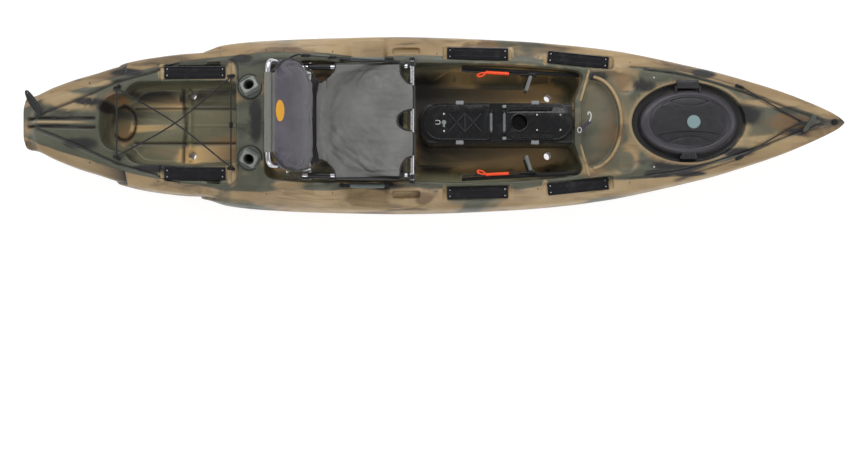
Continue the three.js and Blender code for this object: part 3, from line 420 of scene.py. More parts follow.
def long_round(x0, x1, half, rear_r=None, front_r=None, steps=16):
    """A plan outline with straight sides and round ends."""
    rear_r, front_r = rear_r or half, front_r or half
    made = []
    corners = [(x1 - front_r, -half + front_r, front_r, -90), (x1 - front_r, half - front_r,
               front_r, 0), (x0 + rear_r, half - rear_r, rear_r, 90),
               (x0 + rear_r, -half + rear_r, rear_r, 180)]
    for cx, cy, r, start in corners:
        for k in range(steps + 1):
            a = math.radians(start + 90 * k / steps)
            made.append((cx + r * math.cos(a), cy + r * math.sin(a)))
    return made


def oval(long, wide, x=0, y=0, count=96):
    turns = [2 * math.pi * k / count for k in range(count)]
    return [(x + long * math.cos(a), y + wide * math.sin(a)) for a in turns]


def moved(obj, matrix):
    """Moves the mesh itself, so that its object stays at the origin."""
    obj.data.transform(matrix)
    obj.data.update()
    return obj


# ---------------------------------------------------------------- materials


class Paint:
    """A material on one principled shader, with short calls for the nodes that feed it."""

    def __init__(self, name, roughness=.5, sockets=None):
        self.material = bpy.data.materials.new(name)
        self.material.use_nodes = True
        self.tree = self.material.node_tree
        self.shader = self.tree.nodes["Principled BSDF"]
        self.shader.inputs["Roughness"].default_value = roughness
        for key, value in (sockets or {}).items():
            self.shader.inputs[key].default_value = value
        self.place = self.node("ShaderNodeTexCoord").outputs["Object"]

    def node(self, kind, **settings):
        made = self.tree.nodes.new(kind)
        for key, value in settings.items():
            setattr(made, key, value)
        return made

    def link(self, source, node, socket):
        if isinstance(source, (int, float)):
            node.inputs[socket].default_value = source
        elif isinstance(source, tuple):
            node.inputs[socket].default_value = (*source, 1)[:4]
        else:
            self.tree.links.new(source, node.inputs[socket])

    def scaled(self, scale, shift=(0, 0, 0), source=None, turn=(0, 0, 0)):
        node = self.node("ShaderNodeMapping")
        node.inputs["Scale"].default_value = scale
        node.inputs["Location"].default_value = shift
        node.inputs["Rotation"].default_value = turn
        self.link(source or self.place, node, "Vector")
        return node.outputs["Vector"]

    def noise(self, scale, detail=3, rough=.55, warp=0, source=None):
        node = self.node("ShaderNodeTexNoise")
        node.inputs["Scale"].default_value = scale
        node.inputs["Detail"].default_value = detail
        node.inputs["Roughness"].default_value = rough
        node.inputs["Distortion"].default_value = warp
        self.link(source or self.place, node, "Vector")
        return node.outputs["Fac"]

    def wave(self, scale, direction="X", source=None, profile="SIN", warp=0):
        node = self.node("ShaderNodeTexWave", bands_direction=direction, wave_profile=profile)
        node.inputs["Scale"].default_value = scale
        node.inputs["Distortion"].default_value = warp
        self.link(source or self.place, node, "Vector")
        return node.outputs["Fac"]

    def ramp(self, value, low, high, out_low=0, out_high=1):
        node = self.node("ShaderNodeMapRange", interpolation_type="SMOOTHSTEP")
        for socket, number in (("From Min", low), ("From Max", high), ("To Min", out_low),
                               ("To Max", out_high)):
            self.link(number, node, socket)
        self.link(value, node, "Value")
        return node.outputs["Result"]

    def math(self, operation, a, b=0):
        node = self.node("ShaderNodeMath", operation=operation)
        self.link(a, node, 0)
        self.link(b, node, 1)
        return node.outputs[0]

    def blend(self, factor, a, b, mode="MIX"):
        node = self.node("ShaderNodeMix", data_type="RGBA", blend_type=mode)
        self.link(factor, node, 0)
        self.link(a, node, 6)
        self.link(b, node, 7)
        return node.outputs[2]

    def field(self, name):
        return self.node("ShaderNodeAttribute", attribute_name=name).outputs["Fac"]

    def bump(self, *layers):
        """Stacks bumps, each a (height, strength, distance) triple."""
        last = None
        for height, strength, distance in layers:
            node = self.node("ShaderNodeBump")
            node.inputs["Strength"].default_value = strength
            node.inputs["Distance"].default_value = distance
            self.link(height, node, "Height")
            if last:
                self.link(last, node, "Normal")
            last = node.outputs["Normal"]
        self.link(last, self.shader, "Normal")

    def colour(self, source):
        self.link(source, self.shader, "Base Color")

    def rough(self, source):
        self.link(source, self.shader, "Roughness")


TAN = (.295, .205, .106)
PALE_TAN = (.38, .275, .148)
BROWN = (.16, .10, .05)
OLIVE = (.074, .076, .052)
GREEN = (.105, .108, .08)
DARK = (.022, .021, .021)
WELL_PAINTED_LIGHT = (1.75, 1.6, 1.35)  # painted light: the wells are painted paler, standing in for the light that falls short down in them


def camouflage():
    """Moulded polyethylene with tan, brown, olive and charcoal powders run into each other, with
    painted shade in its creases, on the console's plinth and in the hatch recess, and painted light
    down in its wells.
    """
    p = Paint("camouflage_polyethylene", .42, {"Specular IOR Level": .4})
    inner = p.field("inner")

    def shown_above(value, low, high, shift):
        """A share that rises between two limits, which the inner deck moves down by shift."""
        lowered = [p.math("SUBTRACT", limit, p.math("MULTIPLY", inner, shift))
                   for limit in (low, high)]
        return p.ramp(value, *lowered)

    first = p.noise(2.3, 3, .5, .5, p.scaled((.7, 1.5, 1.5)))
    second = p.noise(3, 4, .55, .7, p.scaled((.6, 1.3, 1.3), (4.1, 2.3, 7.7)))
    third = p.noise(2.8, 4, .55, .9, p.scaled((.6, 1.4, 1.4), (9.3, 5.1, 1.9)))
    smear = p.noise(7, 5, .6, .4, p.scaled((.3, 1.6, 1.6), (1.7, 8.8, 3.2)))
    speck = p.noise(90, 3, .7)
    pale = p.blend(p.ramp(p.noise(4.2, 3, .5, 0, p.scaled((.6, 1, 1), (3, 3, 3))), .42, .62),
                   TAN, PALE_TAN)
    brown = p.blend(shown_above(third, .54, .64, .05), pale, BROWN)
    mixed_olive = p.blend(p.ramp(second, .38, .62), OLIVE, GREEN)
    olive = p.blend(shown_above(first, .58, .66, .22), brown, mixed_olive)
    dark = p.blend(shown_above(second, .60, .72, .06), olive, DARK)
    smeared = p.blend(p.ramp(smear, .5, .72, 0, .8), dark, DARK)
    painted = smeared
    # the crease field is painted shade in the creases, and the charcoal field also holds painted
    # shade on the console's plinth and in the hatch recess
    for name, colour in (("olive", mixed_olive), ("brown", BROWN), ("sand", PALE_TAN),
                         ("charcoal", DARK), ("crease", DARK)):
        painted = p.blend(p.field(name), painted, colour)
    # painted light: the colour is brightened down in the wells
    painted = p.blend(p.field("well"), painted, WELL_PAINTED_LIGHT, "MULTIPLY")
    dusted = p.blend(.13, painted, p.blend(speck, (.02, .02, .02), (.9, .86, .8)), "OVERLAY")
    p.colour(dusted)
    p.rough(p.ramp(p.noise(14, 4), .3, .7, .36, .52))
    p.bump((p.noise(28, 3), .1, .002), (p.noise(420, 2), .12, .0003))
    return p.material


def moulded(name, colour, roughness=.42, grain=700, worn=.06, band=None, rise=.22):
    """Injection-moulded plastic with a fine spark-eroded grain and a little dust."""
    p = Paint(name, roughness, {"Specular IOR Level": .35})
    lighter = tuple(min(1, c + worn) for c in colour)
    dust = p.ramp(p.noise(22, 5, .65), .5, .8, 0, .5)
    dusted = p.blend(dust, colour, lighter)
    p.colour(p.blend(p.field("band"), dusted, band) if band else dusted)
    p.rough(p.ramp(p.noise(35, 4), .3, .7, roughness - .07, roughness + .1))
    p.bump((p.noise(grain, 2), rise, .0003), (p.noise(60, 2), .05, .001))
    return p.material


def metal(name, colour, roughness, streak=(8, 260, 260)):
    """Drawn metal with fine streaks along its length."""
    p = Paint(name, roughness, {"Metallic": 1})
    streaks = p.noise(1, 4, .6, 0, p.scaled(streak))
    p.colour(p.blend(streaks, tuple(c * .8 for c in colour), colour))
    p.rough(p.ramp(streaks, .3, .7, roughness - .08, roughness + .1))
    p.bump((streaks, .08, .0003))
    return p.material


def cloth(name, colour, second, thread=620, sheen=.35, band=None):
    """Coated polyester in a plain weave, faded a little in the open."""
    p = Paint(name, .78, {"Sheen Weight": sheen, "Sheen Roughness": .4})
    warp_lines = p.wave(thread, "X")
    weft_lines = p.wave(thread, "Y")
    rise_lines = p.wave(thread, "Z")
    weave = p.math("MULTIPLY", p.math("ADD", warp_lines, rise_lines), weft_lines)
    faded = p.blend(p.ramp(p.noise(9, 4), .35, .7), colour, second)
    # the band field paints the cloth paler, as painted light
    faded = p.blend(p.field("band"), faded, band) if band else faded
    p.colour(p.blend(p.ramp(weave, .1, 1.1, 0, .4), faded, tuple(c * .55 for c in colour)))
    p.rough(p.ramp(p.noise(30, 3), .3, .7, .68, .88))
    p.bump((p.noise(16, 3), .25, .004), (weave, .35, .0004))
    return p.material


def ribbed(name, colour, along="X", count=420, roughness=.75):
    """Woven webbing with ribs across it."""
    p = Paint(name, roughness, {"Sheen Weight": .25})
    ribs = p.wave(count, along)
    edge = p.noise(300, 3)
    p.colour(p.blend(p.ramp(ribs, .2, .9, 0, .6), tuple(c * .55 for c in colour), colour))
    p.bump((ribs, .5, .0006), (edge, .2, .0003))
    return p.material


def braided(name, colour, fleck):
    """Elastic cord in a braided cover with paler flecks."""
    p = Paint(name, .7, {"Sheen Weight": .2})
    one = p.wave(330, "DIAGONAL")
    two = p.wave(330, "DIAGONAL", p.scaled((1, -1, 1)))
    braid = p.math("MULTIPLY", one, two)
    p.colour(p.blend(p.ramp(p.noise(160, 2), .58, .64, 0, .5), colour, fleck))
    p.bump((braid, .5, .0008))
    return p.material


def netting(name, colour):
    """Open knitted mesh over a darker lining."""
    p = Paint(name, .7, {"Sheen Weight": .3})
    node = p.node("ShaderNodeTexVoronoi")
    node.inputs["Scale"].default_value = 330
    node.inputs["Randomness"].default_value = .15
    p.link(p.place, node, "Vector")
    holes = p.ramp(node.outputs["Distance"], .25, .45)
    p.colour(p.blend(holes, tuple(c * .3 for c in colour), colour))
    p.bump((holes, .6, .0008))
    return p.material


MATERIALS = {
    "hull": camouflage(),
    "plastic": moulded("black_plastic", (.009, .009, .01), .38, worn=.03),
    "plate": moulded("plate_plastic", (.009, .009, .011), .18, 300, .03),
    "console": moulded("console_plastic", (.007, .007, .008), .26, 300, .006, rise=.07),
    "lid": moulded("lid_plastic", (.024, .023, .026), .4, 260, .02, (.05, .046, .054)),
    "rubber": moulded("rubber", (.009, .009, .009), .7, 300, .02),
    "clip": moulded("grey_clip_plastic", (.2, .21, .215), .42),
    "blade": moulded("pale_grey_plastic", (.15, .155, .145), .4),
    "cap": moulded("pale_cap_plastic", (.19, .27, .28), .45),
    "block": moulded("grey_green_plastic", (.07, .078, .066), .5, worn=.05),
    "collar": moulded("pale_collar_plastic", (.22, .235, .215), .4, worn=.05),
    "grip": moulded("grey_grip_rubber", (.12, .145, .14), .55, 400, .05),
    "orange": moulded("orange_plastic", (.85, .075, .015), .4, 500, .05),
    "tube": metal("anodised_tube", (.62, .62, .66), .3),
    "steel": metal("stainless_steel", (.62, .62, .62), .28),
    "white": moulded("pale_rivet", (.45, .45, .43), .4),
    # one fabric: the back's cloth is painted darker as painted shade, the base's paler as painted
    # light, and the back's band paler still as painted light
    "pad": cloth("seat_back_cloth_painted_shade", (.078, .07, .09), (.105, .096, .118), 620, .35,
                 (.17, .175, .15)),
    "sling": cloth("seat_base_cloth_painted_light", (.14, .14, .132), (.19, .19, .182)),
    "binding": ribbed("binding_tape", (.01, .01, .011)),
    "webbing": ribbed("webbing", (.011, .011, .011)),
    "purple": ribbed("keeper_webbing", (.05, .035, .07), "Y"),
    "net": netting("black_net", (.035, .035, .038)),
    "cord": braided("elastic_cord", (.004, .004, .004), (.04, .04, .036)),
    "patch": ribbed("sewn_patch", (1, .47, .02), "X", 700),
    "pocket": moulded("pocket_insert", (.06, .07, .055), .5),
}


# ---------------------------------------------------------------- camera, floor and lights

CAMERA = (0, -.483, 5)
DECK_Z = .34
VIEW_WIDTH = 4.074  # breadth of the picture at deck height
SENSOR = 36
WHITE = (1, 1, 1)


def add_camera():
    """A camera that looks straight down from starboard of the keel."""
    data = bpy.data.cameras.new("camera")
    data.sensor_width = SENSOR
    data.lens = SENSOR * (CAMERA[2] - DECK_Z) / VIEW_WIDTH
    data.clip_end = 40
    camera = bpy.data.objects.new("camera", data)
    camera.location = CAMERA
    bpy.context.scene.collection.objects.link(camera)
    bpy.context.scene.camera = camera


FLOOR_GLOW = .82


def add_floor():
    """A pale floor that glows like a light table."""
    half, steps = 14, 8
    vertices = [(mix(-half, half, i / steps), mix(-half, half, j / steps), -.002)
                for i in range(steps + 1) for j in range(steps + 1)]
    row = steps + 1
    faces = [(i * row + j, (i + 1) * row + j, (i + 1) * row + j + 1, i * row + j + 1)
             for i in range(steps) for j in range(steps)]
    floor = new_object("floor", vertices, faces)
    p = Paint("floor_paint", .9, {"Specular IOR Level": 0, "Emission Strength": FLOOR_GLOW,
                                  "Emission Color": (1, 1, 1, 1)})
    p.colour(p.blend(p.noise(3, 2), (.27, .27, .27), (.3, .3, .3)))
    floor.data.materials.append(p.material)


def add_light(name, place, target, size, power, colour=WHITE):
    data = bpy.data.lights.new(name, "AREA")
    data.shape = "RECTANGLE"
    data.size, data.size_y = size
    data.energy = power
    data.color = colour
    light = bpy.data.objects.new(name, data)
    light.location = place
    aim = Vector(target) - Vector(place)
    light.rotation_euler = aim.to_track_quat("-Z", "Y").to_euler()
    bpy.context.scene.collection.objects.link(light)


def add_studio():
    add_floor()
    add_light("key", (0, 2.6, 3.2), (0, 0, .2), (5.5, 1), 130)
    add_light("fill", (0, -3, 2.6), (0, 0, .2), (5.5, 1.2), 72)
    add_light("bow_light", (4, 0, 2.4), (.5, 0, .2), (1.6, 1.6), 25)
    add_light("stern_light", (-4, .5, 2.4), (-.5, 0, .2), (1.6, 1.6), 25)
    world = bpy.data.worlds.new("studio")
    world.use_nodes = True
    background = world.node_tree.nodes["Background"]
    background.inputs["Color"].default_value = (1, 1, 1, 1)
    background.inputs["Strength"].default_value = .33
    bpy.context.scene.world = world
    bpy.context.scene.view_settings.view_transform = "Standard"


# ---------------------------------------------------------------- hull


def hull_skin():
    """The outer skin before anything is cut from it."""
    rings = []
    for x in np.linspace(-1.943, 1.943, 340):
        s = section_at(float(x))
        shoulder = [(mix(s["seam_half"], s["rim_half"], t),
                     mix(s["seam"], s["rim"], t ** SHOULDER_CURVE)) for t in (.2, .4, .7)]
        half = [(0, s["keel"]), (s["tuck_half"] / 2, mix(s["keel"], s["tuck"], .5 ** BOTTOM_CURVE)),
                (s["tuck_half"], s["tuck"]), (s["chine_half"], s["chine"]),
                (mix(s["beam"], s["chine_half"], .25), mix(s["widest"], s["chine"], .5)),
                (s["beam"], s["widest"]), (s["seam_half"], s["seam"]), *shoulder,
                (s["rim_half"], s["rim"]), (s["rim_half"] / 2, mix(s["rim"], s["crown"], .75)),
                (0, s["crown"])]
        ring = [Vector((x, y, z)) for y, z in half]
        ring += [Vector((x, -y, z)) for y, z in reversed(half[1:-1])]
        rings.append(rounded(ring, .02, 2))
    return faced_out(new_object("hull_skin", *loft(rings)))


def well(levels):
    """The cutting solid of a well, with its corners rounded in plan."""
    rings = []
    for z, outline in levels:
        ring = [Vector((x, half, z)) for x, half in outline]
        ring += [Vector((x, -half, z)) for x, half in reversed(outline)]
        rings.append(rounded(ring, .035, 5))
    return faced_out(new_object("well", *loft(rings)))


def cutter(outline, low, high=ABOVE_DECK):
    """A plan outline drawn up from low as a cutting solid."""
    return prism("cutter", outline, low, high)


def cylinder_cutter(start, end, radius):
    return faced_out(tube("cutter", [start, end], radius, 32))


def subtract(base, tools, operation="DIFFERENCE"):
    """Cuts each tool from the base, or joins it on with UNION, and removes the tool."""
    for tool in tools:
        modify(base, "BOOLEAN", object=tool, solver="MANIFOLD", operation=operation)
        apply(base)
        bpy.data.objects.remove(tool)
    return base


PLINTH_FOOT, PLINTH_TOP = .104, .093  # half-widths of the console's plinth


def footwell_cutter():
    """The footwell's cutting solid, less the plinth under the console and the front bulkhead."""
    plinth_rings = []
    for z, half in ((.06, PLINTH_FOOT), (.3, PLINTH_TOP)):
        ring = [(-.06, half * .55), (-.025, half), (.76, half)]
        ring = [Vector((x, y, z)) for x, y in ring] + [Vector((x, -y, z)) for x, y in ring[::-1]]
        plinth_rings.append(rounded(ring, .02))
    plinth = faced_out(new_object("plinth", *loft(plinth_rings)))
    bulkhead = cutter([(.671, -.1), (.724, -.25), (.824, -.25), (.824, .25), (.724, .25),
                       (.671, .1)], .06, ABOVE_DECK + .01)
    return subtract(well(FOOTWELL), [plinth, bulkhead])


def tray_outline():
    """The front tray in plan: a straight rear edge and a bow-shaped front."""
    curve = [(.742 + .142 * math.sin(a), -.212 * math.cos(a))
             for a in np.linspace(0, math.pi, 40)]
    return [(.706, -.1), *curve, (.706, .1)]


PLATE_MARGIN = .02  # free length of a plate's pocket past each end of the plate


def deck_cutters():
    """The cutting solids of every well, pocket, scupper and bore in the deck."""
    cutters = [well(TANK_WELL), well(SEAT_WELL), footwell_cutter(), cutter(tray_outline(), .3),
               cutter(oval(.265, .187, HATCH_X), .32),
               cutter(long_round(-.04, .654, .084), .155)]
    for _, side in SIDES:
        cutters.append(cylinder_cutter((.905, side * .184, .342), (.905, side * .184, .48), .054))
        for _, x, y, top, turn in GEAR_PLATES:
            half_x, half_y = GEAR_PLATE_LENGTH / 2 + PLATE_MARGIN, GEAR_PLATE_WIDTH / 2 + .004
            pocket = cutter(rectangle(-half_x, half_x, -half_y, half_y, .008), top - .0074)
            turned_in = Matrix.Rotation(side * math.radians(turn), 4, "Z")
            cutters.append(moved(pocket, Matrix.Translation((x, side * y, 0)) @ turned_in))
        rear_ledge = rectangle(-1.289, -.948, side * .2415 - .0465, side * .2415 + .0465, .012)
        cutters.append(cutter(rear_ledge, .3185))
        for x0, x1, depth in ((-.7, -.555, .36), (-.19, -.06, .305)):
            cutters.append(cutter(rectangle(x0, x1, side * .338 - .016, side * .338 + .016, .01),
                                  depth))
        for x, y in SCUPPERS:
            cutters.append(cylinder_cutter((x, side * y, -.02), (x, side * y, .26), SCUPPER_R))
        at = Vector((ROD_HOLDER.x, side * ROD_HOLDER.y, ROD_HOLDER.z))
        axis = Vector((ROD_AXIS.x, side * ROD_AXIS.y, ROD_AXIS.z))
        cutters.append(cylinder_cutter(at - axis * .2, at + axis * .06, .0275))
    return cutters


def bow_hold():
    """The hollow of the bow that shows through the hatch."""
    rings = []
    for x in np.linspace(.96, 1.45, 12):
        s = section_at(float(x))
        half = [(s["tuck_half"] * .8, s["tuck"] + .02), (s["beam"] * .86, s["widest"]),
                (s["seam_half"] * .85, .305)]
        ring = [Vector((x, y, z)) for y, z in half] + [Vector((x, -y, z)) for y, z in half[::-1]]
        rings.append(ring)
    hold = faced_out(new_object("hold", *loft(rings)))
    return subtract(hold, [cutter(oval(.196, .121, HATCH_X), .25)], "UNION")


# Lines pressed into the moulding: where, points in plan, half-width, depth.
CREASES = [
    ("deck", [(-1.915, .018), (-1.75, .02), (-1.595, .022)], .007, .013),
    ("deck", [(-1.86, .03), (-1.7, .095), (-1.5, .19), (-1.33, .24), (-1.2, .285)], .007, .011),
    ("deck", [(-.96, .295), (-.925, .27), (-.92, .2)], .007, .008),
    ("deck", [(1.0, .25), (1.2, .222), (1.465, .142), (1.72, .048), (1.84, .004)], .006, .010),
    ("deck", [(.93, .262), (1.2, .245), (1.45, .172)], .005, .006),
    ("well", [(-1.45, .087), (-.95, .087)], .006, .009),
    ("well", [(-1.203, 0), (-1.213, .1), (-1.216, .19)], .008, .011),
    ("well", [(-1.45, 0), (-.95, 0)], .004, -.003),
    ("well", [(-1.181, 0), (-1.181, .19)], .012, -.015),
]

# Steps down each side of the hull as (height, x) points: the skin lies lower aft of them.
SIDE_STEPS = [[(.165, -1.548), (.225, -1.5), (.268, -1.452)],
              [(.1, -1.133), (.15, -1.13), (.22, -1.08), (.29, -1.0)]]
STEP_DEPTH, STEP_FADE = .013, .11
CREASE_SHADE = .012  # depth of a crease whose bottom is painted fully dark as painted shade
LOBE = (-1.507, .012, .057, .084)  # oval groove in the floor of the tank well's rear lobe


def distance_to(points, a, b):
    """Distance of every (a, b) to the polyline, and the share of its length that is nearest."""
    points = [Vector(p).to_3d() for p in smooth_path([(*p, 0) for p in points], 5)]
    best = np.full(len(a), 9.0)
    for start, end in zip(points, points[1:]):
        span = end - start
        along = ((a - start.x) * span.x + (b - start.y) * span.y) / span.length_squared
        along = np.clip(along, 0, 1)
        best = np.minimum(best, np.hypot(a - start.x - along * span.x,
                                         b - start.y - along * span.y))
    return best


def press_creases(co, normal):
    """Moves vertices in along the creases and out along the ribs; also says how deep each lies."""
    x, y, z = co.T
    push = np.zeros(len(co))
    on_deck = (np.abs(z - deck_height(x, y)) < .012) & (normal[:, 2] > .35)
    in_well = (z < .19) & (normal[:, 2] > .6) & (x < -.9)
    where = {"deck": on_deck, "well": in_well}
    for place, points, width, depth in CREASES:
        reach = where[place]
        away = distance_to(points, x[reach], np.abs(y[reach]))
        push[reach] -= depth * np.exp(-(away / width) ** 2)
    on_side = (np.abs(normal[:, 1]) > .4) & (np.abs(y) > line["beam"](x) * .6)
    for points in SIDE_STEPS:
        behind = through(points)(z) - x
        push -= on_side * STEP_DEPTH * step(0, .009, behind) * np.exp(-np.abs(behind) / STEP_FADE)
    rho = np.hypot((x - LOBE[0]) / LOBE[2], (y - LOBE[1]) / LOBE[3])
    push -= in_well * (x < -1.44) * .013 * np.exp(-((rho - 1) / .1) ** 2)
    return co + normal * push[:, None], np.clip(-push / CREASE_SHADE, 0, 1)


# Patches of a single powder on the deck: centre x, centre y, half-length, half-breadth.
PATCHES = {
    "charcoal": [(-1.56, .08, .02, .03), (-1.33, .135, .13, .035), (-1.07, .14, .09, .035),
                 (-1.3, -.215, .16, .02), (-1.76, .02, .17, .007), (-1.76, -.02, .17, .007),
                 (1.28, .235, .06, .024), (1.46, .04, .1, .05), (-.03, .18, .08, .08),
                 (.02, -.18, .09, .05), (1.42, -.14, .08, .02), (1.2, -.24, .1, .012),
                 (-.83, .02, .03, .12), (.77, .22, .06, .02), (-1.62, .1, .07, .02),
                 (-1.66, -.1, .08, .03), (-.02, .03, .06, .2), (.62, -.23, .05, .02),
                 (1.0, .17, .06, .03), (1.08, -.24, .08, .02), (-.9, .3, .06, .02),
                 (-.25, -.3, .1, .02), (-1.45, .24, .08, .02)],
    "sand": [(-1.6, .19, .1, .02), (-1.7, .1, .13, .045), (-1.3, .1, .1, .03),
             (-1.02, .05, .06, .04), (.28, .15, .12, .03), (-1.76, 0, .16, .006),
             (-1.445, -.012, .045, .018), (-1.16, -.142, .11, .045), (-1.36, .05, .06, .03),
             (-.95, .24, .03, .05), (-.95, -.24, .03, .06), (.26, -.16, .28, .07),
             (.52, -.15, .14, .06), (.3, .25, .3, .03), (.55, .16, .1, .05), (.1, .2, .12, .02),
             (.9, .29, .12, .02), (1.6, .09, .16, .02), (1.62, -.08, .2, .02),
             (.905, -.19, .022, .03), (.93, .17, .02, .02)],
    "brown": [(-1.34, .03, .09, .03), (-1.5, -.05, .035, .05), (-1.51, .12, .04, .025),
              (-1.02, -.06, .07, .05), (-.97, -.13, .03, .05), (.9, .19, .045, .045),
              (1.66, 0, .1, .04), (1.05, -.12, .05, .06), (.86, -.05, .04, .05)],
    "olive": [(1.52, 0, .14, .08), (.12, .16, .2, .04), (-1.2, .02, .06, .09),
              (-1.25, -.09, .12, .05), (-.84, -.1, .05, .08), (.8, 0, .13, .25),
              (1.0, 0, .08, .2), (.3, .14, .24, .03), (.905, -.184, .054, .054),
              (1.5, .03, .12, .06), (1.5, -.05, .1, .05)],
}
FRAY = .3  # how far a noise moves the edges of a patch


def patch_field(co, patches):
    """How strongly each vertex lies in the patches, with edges that a noise frays."""
    x, y, _ = co.T
    frayed = np.array([noise.noise(Vector(v) * 11) + noise.noise(Vector(v) * 31) * .5
                       for v in co])
    best = np.zeros(len(co))
    for cx, cy, long, wide in patches:
        away = np.hypot((x - cx) / long, (y - cy) / wide) + frayed * FRAY
        best = np.maximum(best, 1 - step(.72, 1.18, away))
    return best


def add_field(obj, name, values):
    field = obj.data.attributes.new(name, "FLOAT", "POINT")
    field.data.foreach_set("value", np.asarray(values, np.float32))


VOXEL = .0052
HULL_TRIANGLES = 195000
INSIDE_Z = .11  # the floors of the wells lie above this height


def hull_mesh():
    """The moulding as one smooth mesh, with its wells cut and its creases pressed in."""
    hull = subtract(hull_skin(), [*deck_cutters(), bow_hold()])
    modify(hull, "REMESH", mode="VOXEL", voxel_size=VOXEL)
    modify(hull, "SMOOTH", factor=.5, iterations=5)
    apply(hull)
    pressed, depth = press_creases(coordinates(hull), vertex_normals(hull))
    set_coordinates(hull, pressed)
    on_top = (pressed[:, 2] > INSIDE_Z) & (np.abs(pressed[:, 1]) < .3)
    # painted shade: each crease is painted darker the deeper it lies
    add_field(hull, "crease", depth * on_top)
    modify(hull, "TRIANGULATE")
    apply(hull)
    share = HULL_TRIANGLES / len(hull.data.polygons)
    if share < 1:
        modify(hull, "DECIMATE", ratio=share)
        apply(hull)
    return hull


def add_powders(hull):
    """Fields that say where each powder of the camouflage lies."""
    co = coordinates(hull)
    x, y, z = co.T
    deck, rim_half, seam = deck_height(x, y), line["rim_half"](x), line["seam"](x)
    inside = z > INSIDE_Z
    within_rim = np.abs(y) < rim_half
    inner = 1 - step(.0, .02, np.abs(y) - rim_half)
    inner = inner * step(.0, .03, z - seam + .03)
    add_field(hull, "inner", np.maximum(inner, (within_rim & inside & (z < seam)) * 1.0))
    # the well field marks where the wells are painted paler as painted light
    add_field(hull, "well", step(.06, .16, deck - z) * inside * within_rim)
    plates = [(x0 + end * (GEAR_PLATE_LENGTH / 2 + .012), side * y0, .014, .034)
              for _, x0, y0, *_ in GEAR_PLATES for end in (-1, 1) for _, side in SIDES]
    # painted shade: the console's plinth and the hatch recess are painted charcoal where shade
    # falls
    plinth = (np.abs(y) < PLINTH_FOOT) & (x > -.07) & (x < .665) & (z > .2)
    recess = np.hypot((x - HATCH_X) / .265, y / .187)
    in_recess = (recess < .99) & (z > .25) & (z < deck - .004)
    charcoal = np.maximum(patch_field(co, PATCHES["charcoal"]), plinth | in_recess)
    ring = np.exp(-((recess - 1.04) / .03) ** 2) * (z > .33) * .7
    sand = np.maximum(patch_field(co, PATCHES["sand"] + plates) * .85, ring)
    add_field(hull, "charcoal", charcoal * inside)
    add_field(hull, "sand", sand * inside)
    for name in ("brown", "olive"):
        add_field(hull, name, patch_field(co, PATCHES[name]) * inside * .85)


def add_hull():
    hull = hull_mesh()
    hull.name = hull.data.name = "hull_moulding"
    add_powders(hull)
    finished(hull, MATERIALS["hull"], "hull", ["hull"], 60)


# ---------------------------------------------------------------- small helpers for pieces


def piece(name, obj, finish, body="hull", replaces=(), angle=35, blend=None):
    """Names a new piece and gives it its finish and the body that it moves with, or no body where a
    blend is given.
    """
    obj.name = obj.data.name = name
    return finished(obj, MATERIALS[finish], body, replaces, angle, blend)


def dressed(name, finish, bevel=.001, angle=30):
    """Shows a CAD node as it is, with its facets merged and its edges softened."""
    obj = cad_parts[name]
    obj.data.materials.clear()
    obj.data.materials.append(MATERIALS[finish])
    obj.data.shade_smooth()
    modify(obj, "WELD", merge_threshold=.00005)
    modify(obj, "DECIMATE", decimate_type="DISSOLVE", angle_limit=math.radians(1.5))
    if bevel:
        modify(obj, "BEVEL", width=bevel, segments=2, limit_method="ANGLE",
               angle_limit=math.radians(angle), harden_normals=True)
    return obj


def screw_head(x, y, z, radius=.0042, axis=(0, 0, 1)):
    """A domed head with a slot across it."""
    profile = [(0, -.001), (radius, -.001), (radius, .0004), (radius * .8, .0014),
               (radius * .35, .002), (0, .002)]
    head = turned("screw", profile, 20, (x, y, z), axis)
    slot = prism("slot", rectangle(-radius * .7, radius * .7, -.0006, .0006, .0002, 1),
                 .001, .004)
    turn = Vector((0, 0, 1)).rotation_difference(Vector(axis)).to_matrix().to_4x4()
    moved(slot, Matrix.Translation((x, y, z)) @ turn @ Matrix.Rotation(.6, 4, "Z"))
    return subtract(head, [slot])


def bead(outline, z, radius, inset=0):
    """A rounded bead that runs round an outline at one height."""
    centre = Vector((sum(p[0] for p in outline), sum(p[1] for p in outline))) / len(outline)
    ring = []
    for x, y, *_ in outline:
        away = Vector((x, y)) - centre
        shrunk = centre + away * (1 - inset / max(away.length, 1e-6))
        ring.append(Vector((shrunk.x, shrunk.y, z)))
    return closed_tube("bead", ring, radius)


def closed_tube(name, path, radius, sides=8):
    """A round tube along a closed path that lies nearly flat."""
    count = len(path)
    rings = []
    for i, point in enumerate(path):
        ahead = (path[(i + 1) % count] - path[i - 1]).normalized()
        side = ahead.cross(Vector((0, 0, 1))).normalized()
        up = side.cross(ahead)
        turns = [2 * math.pi * k / sides for k in range(sides)]
        rings.append([point + side * (radius * math.cos(a)) + up * (radius * math.sin(a))
                      for a in turns])
    return faced_out(new_object(name, *loft(rings, closed=True)))


def placed_on_side(side, *objects):
    """Moves pieces made for the port side over to the given side."""
    for obj in objects:
        if side < 0:
            moved(obj, Matrix.Scale(-1, 4, (0, 1, 0)))
            faced_out(obj)


# ---------------------------------------------------------------- deck fittings


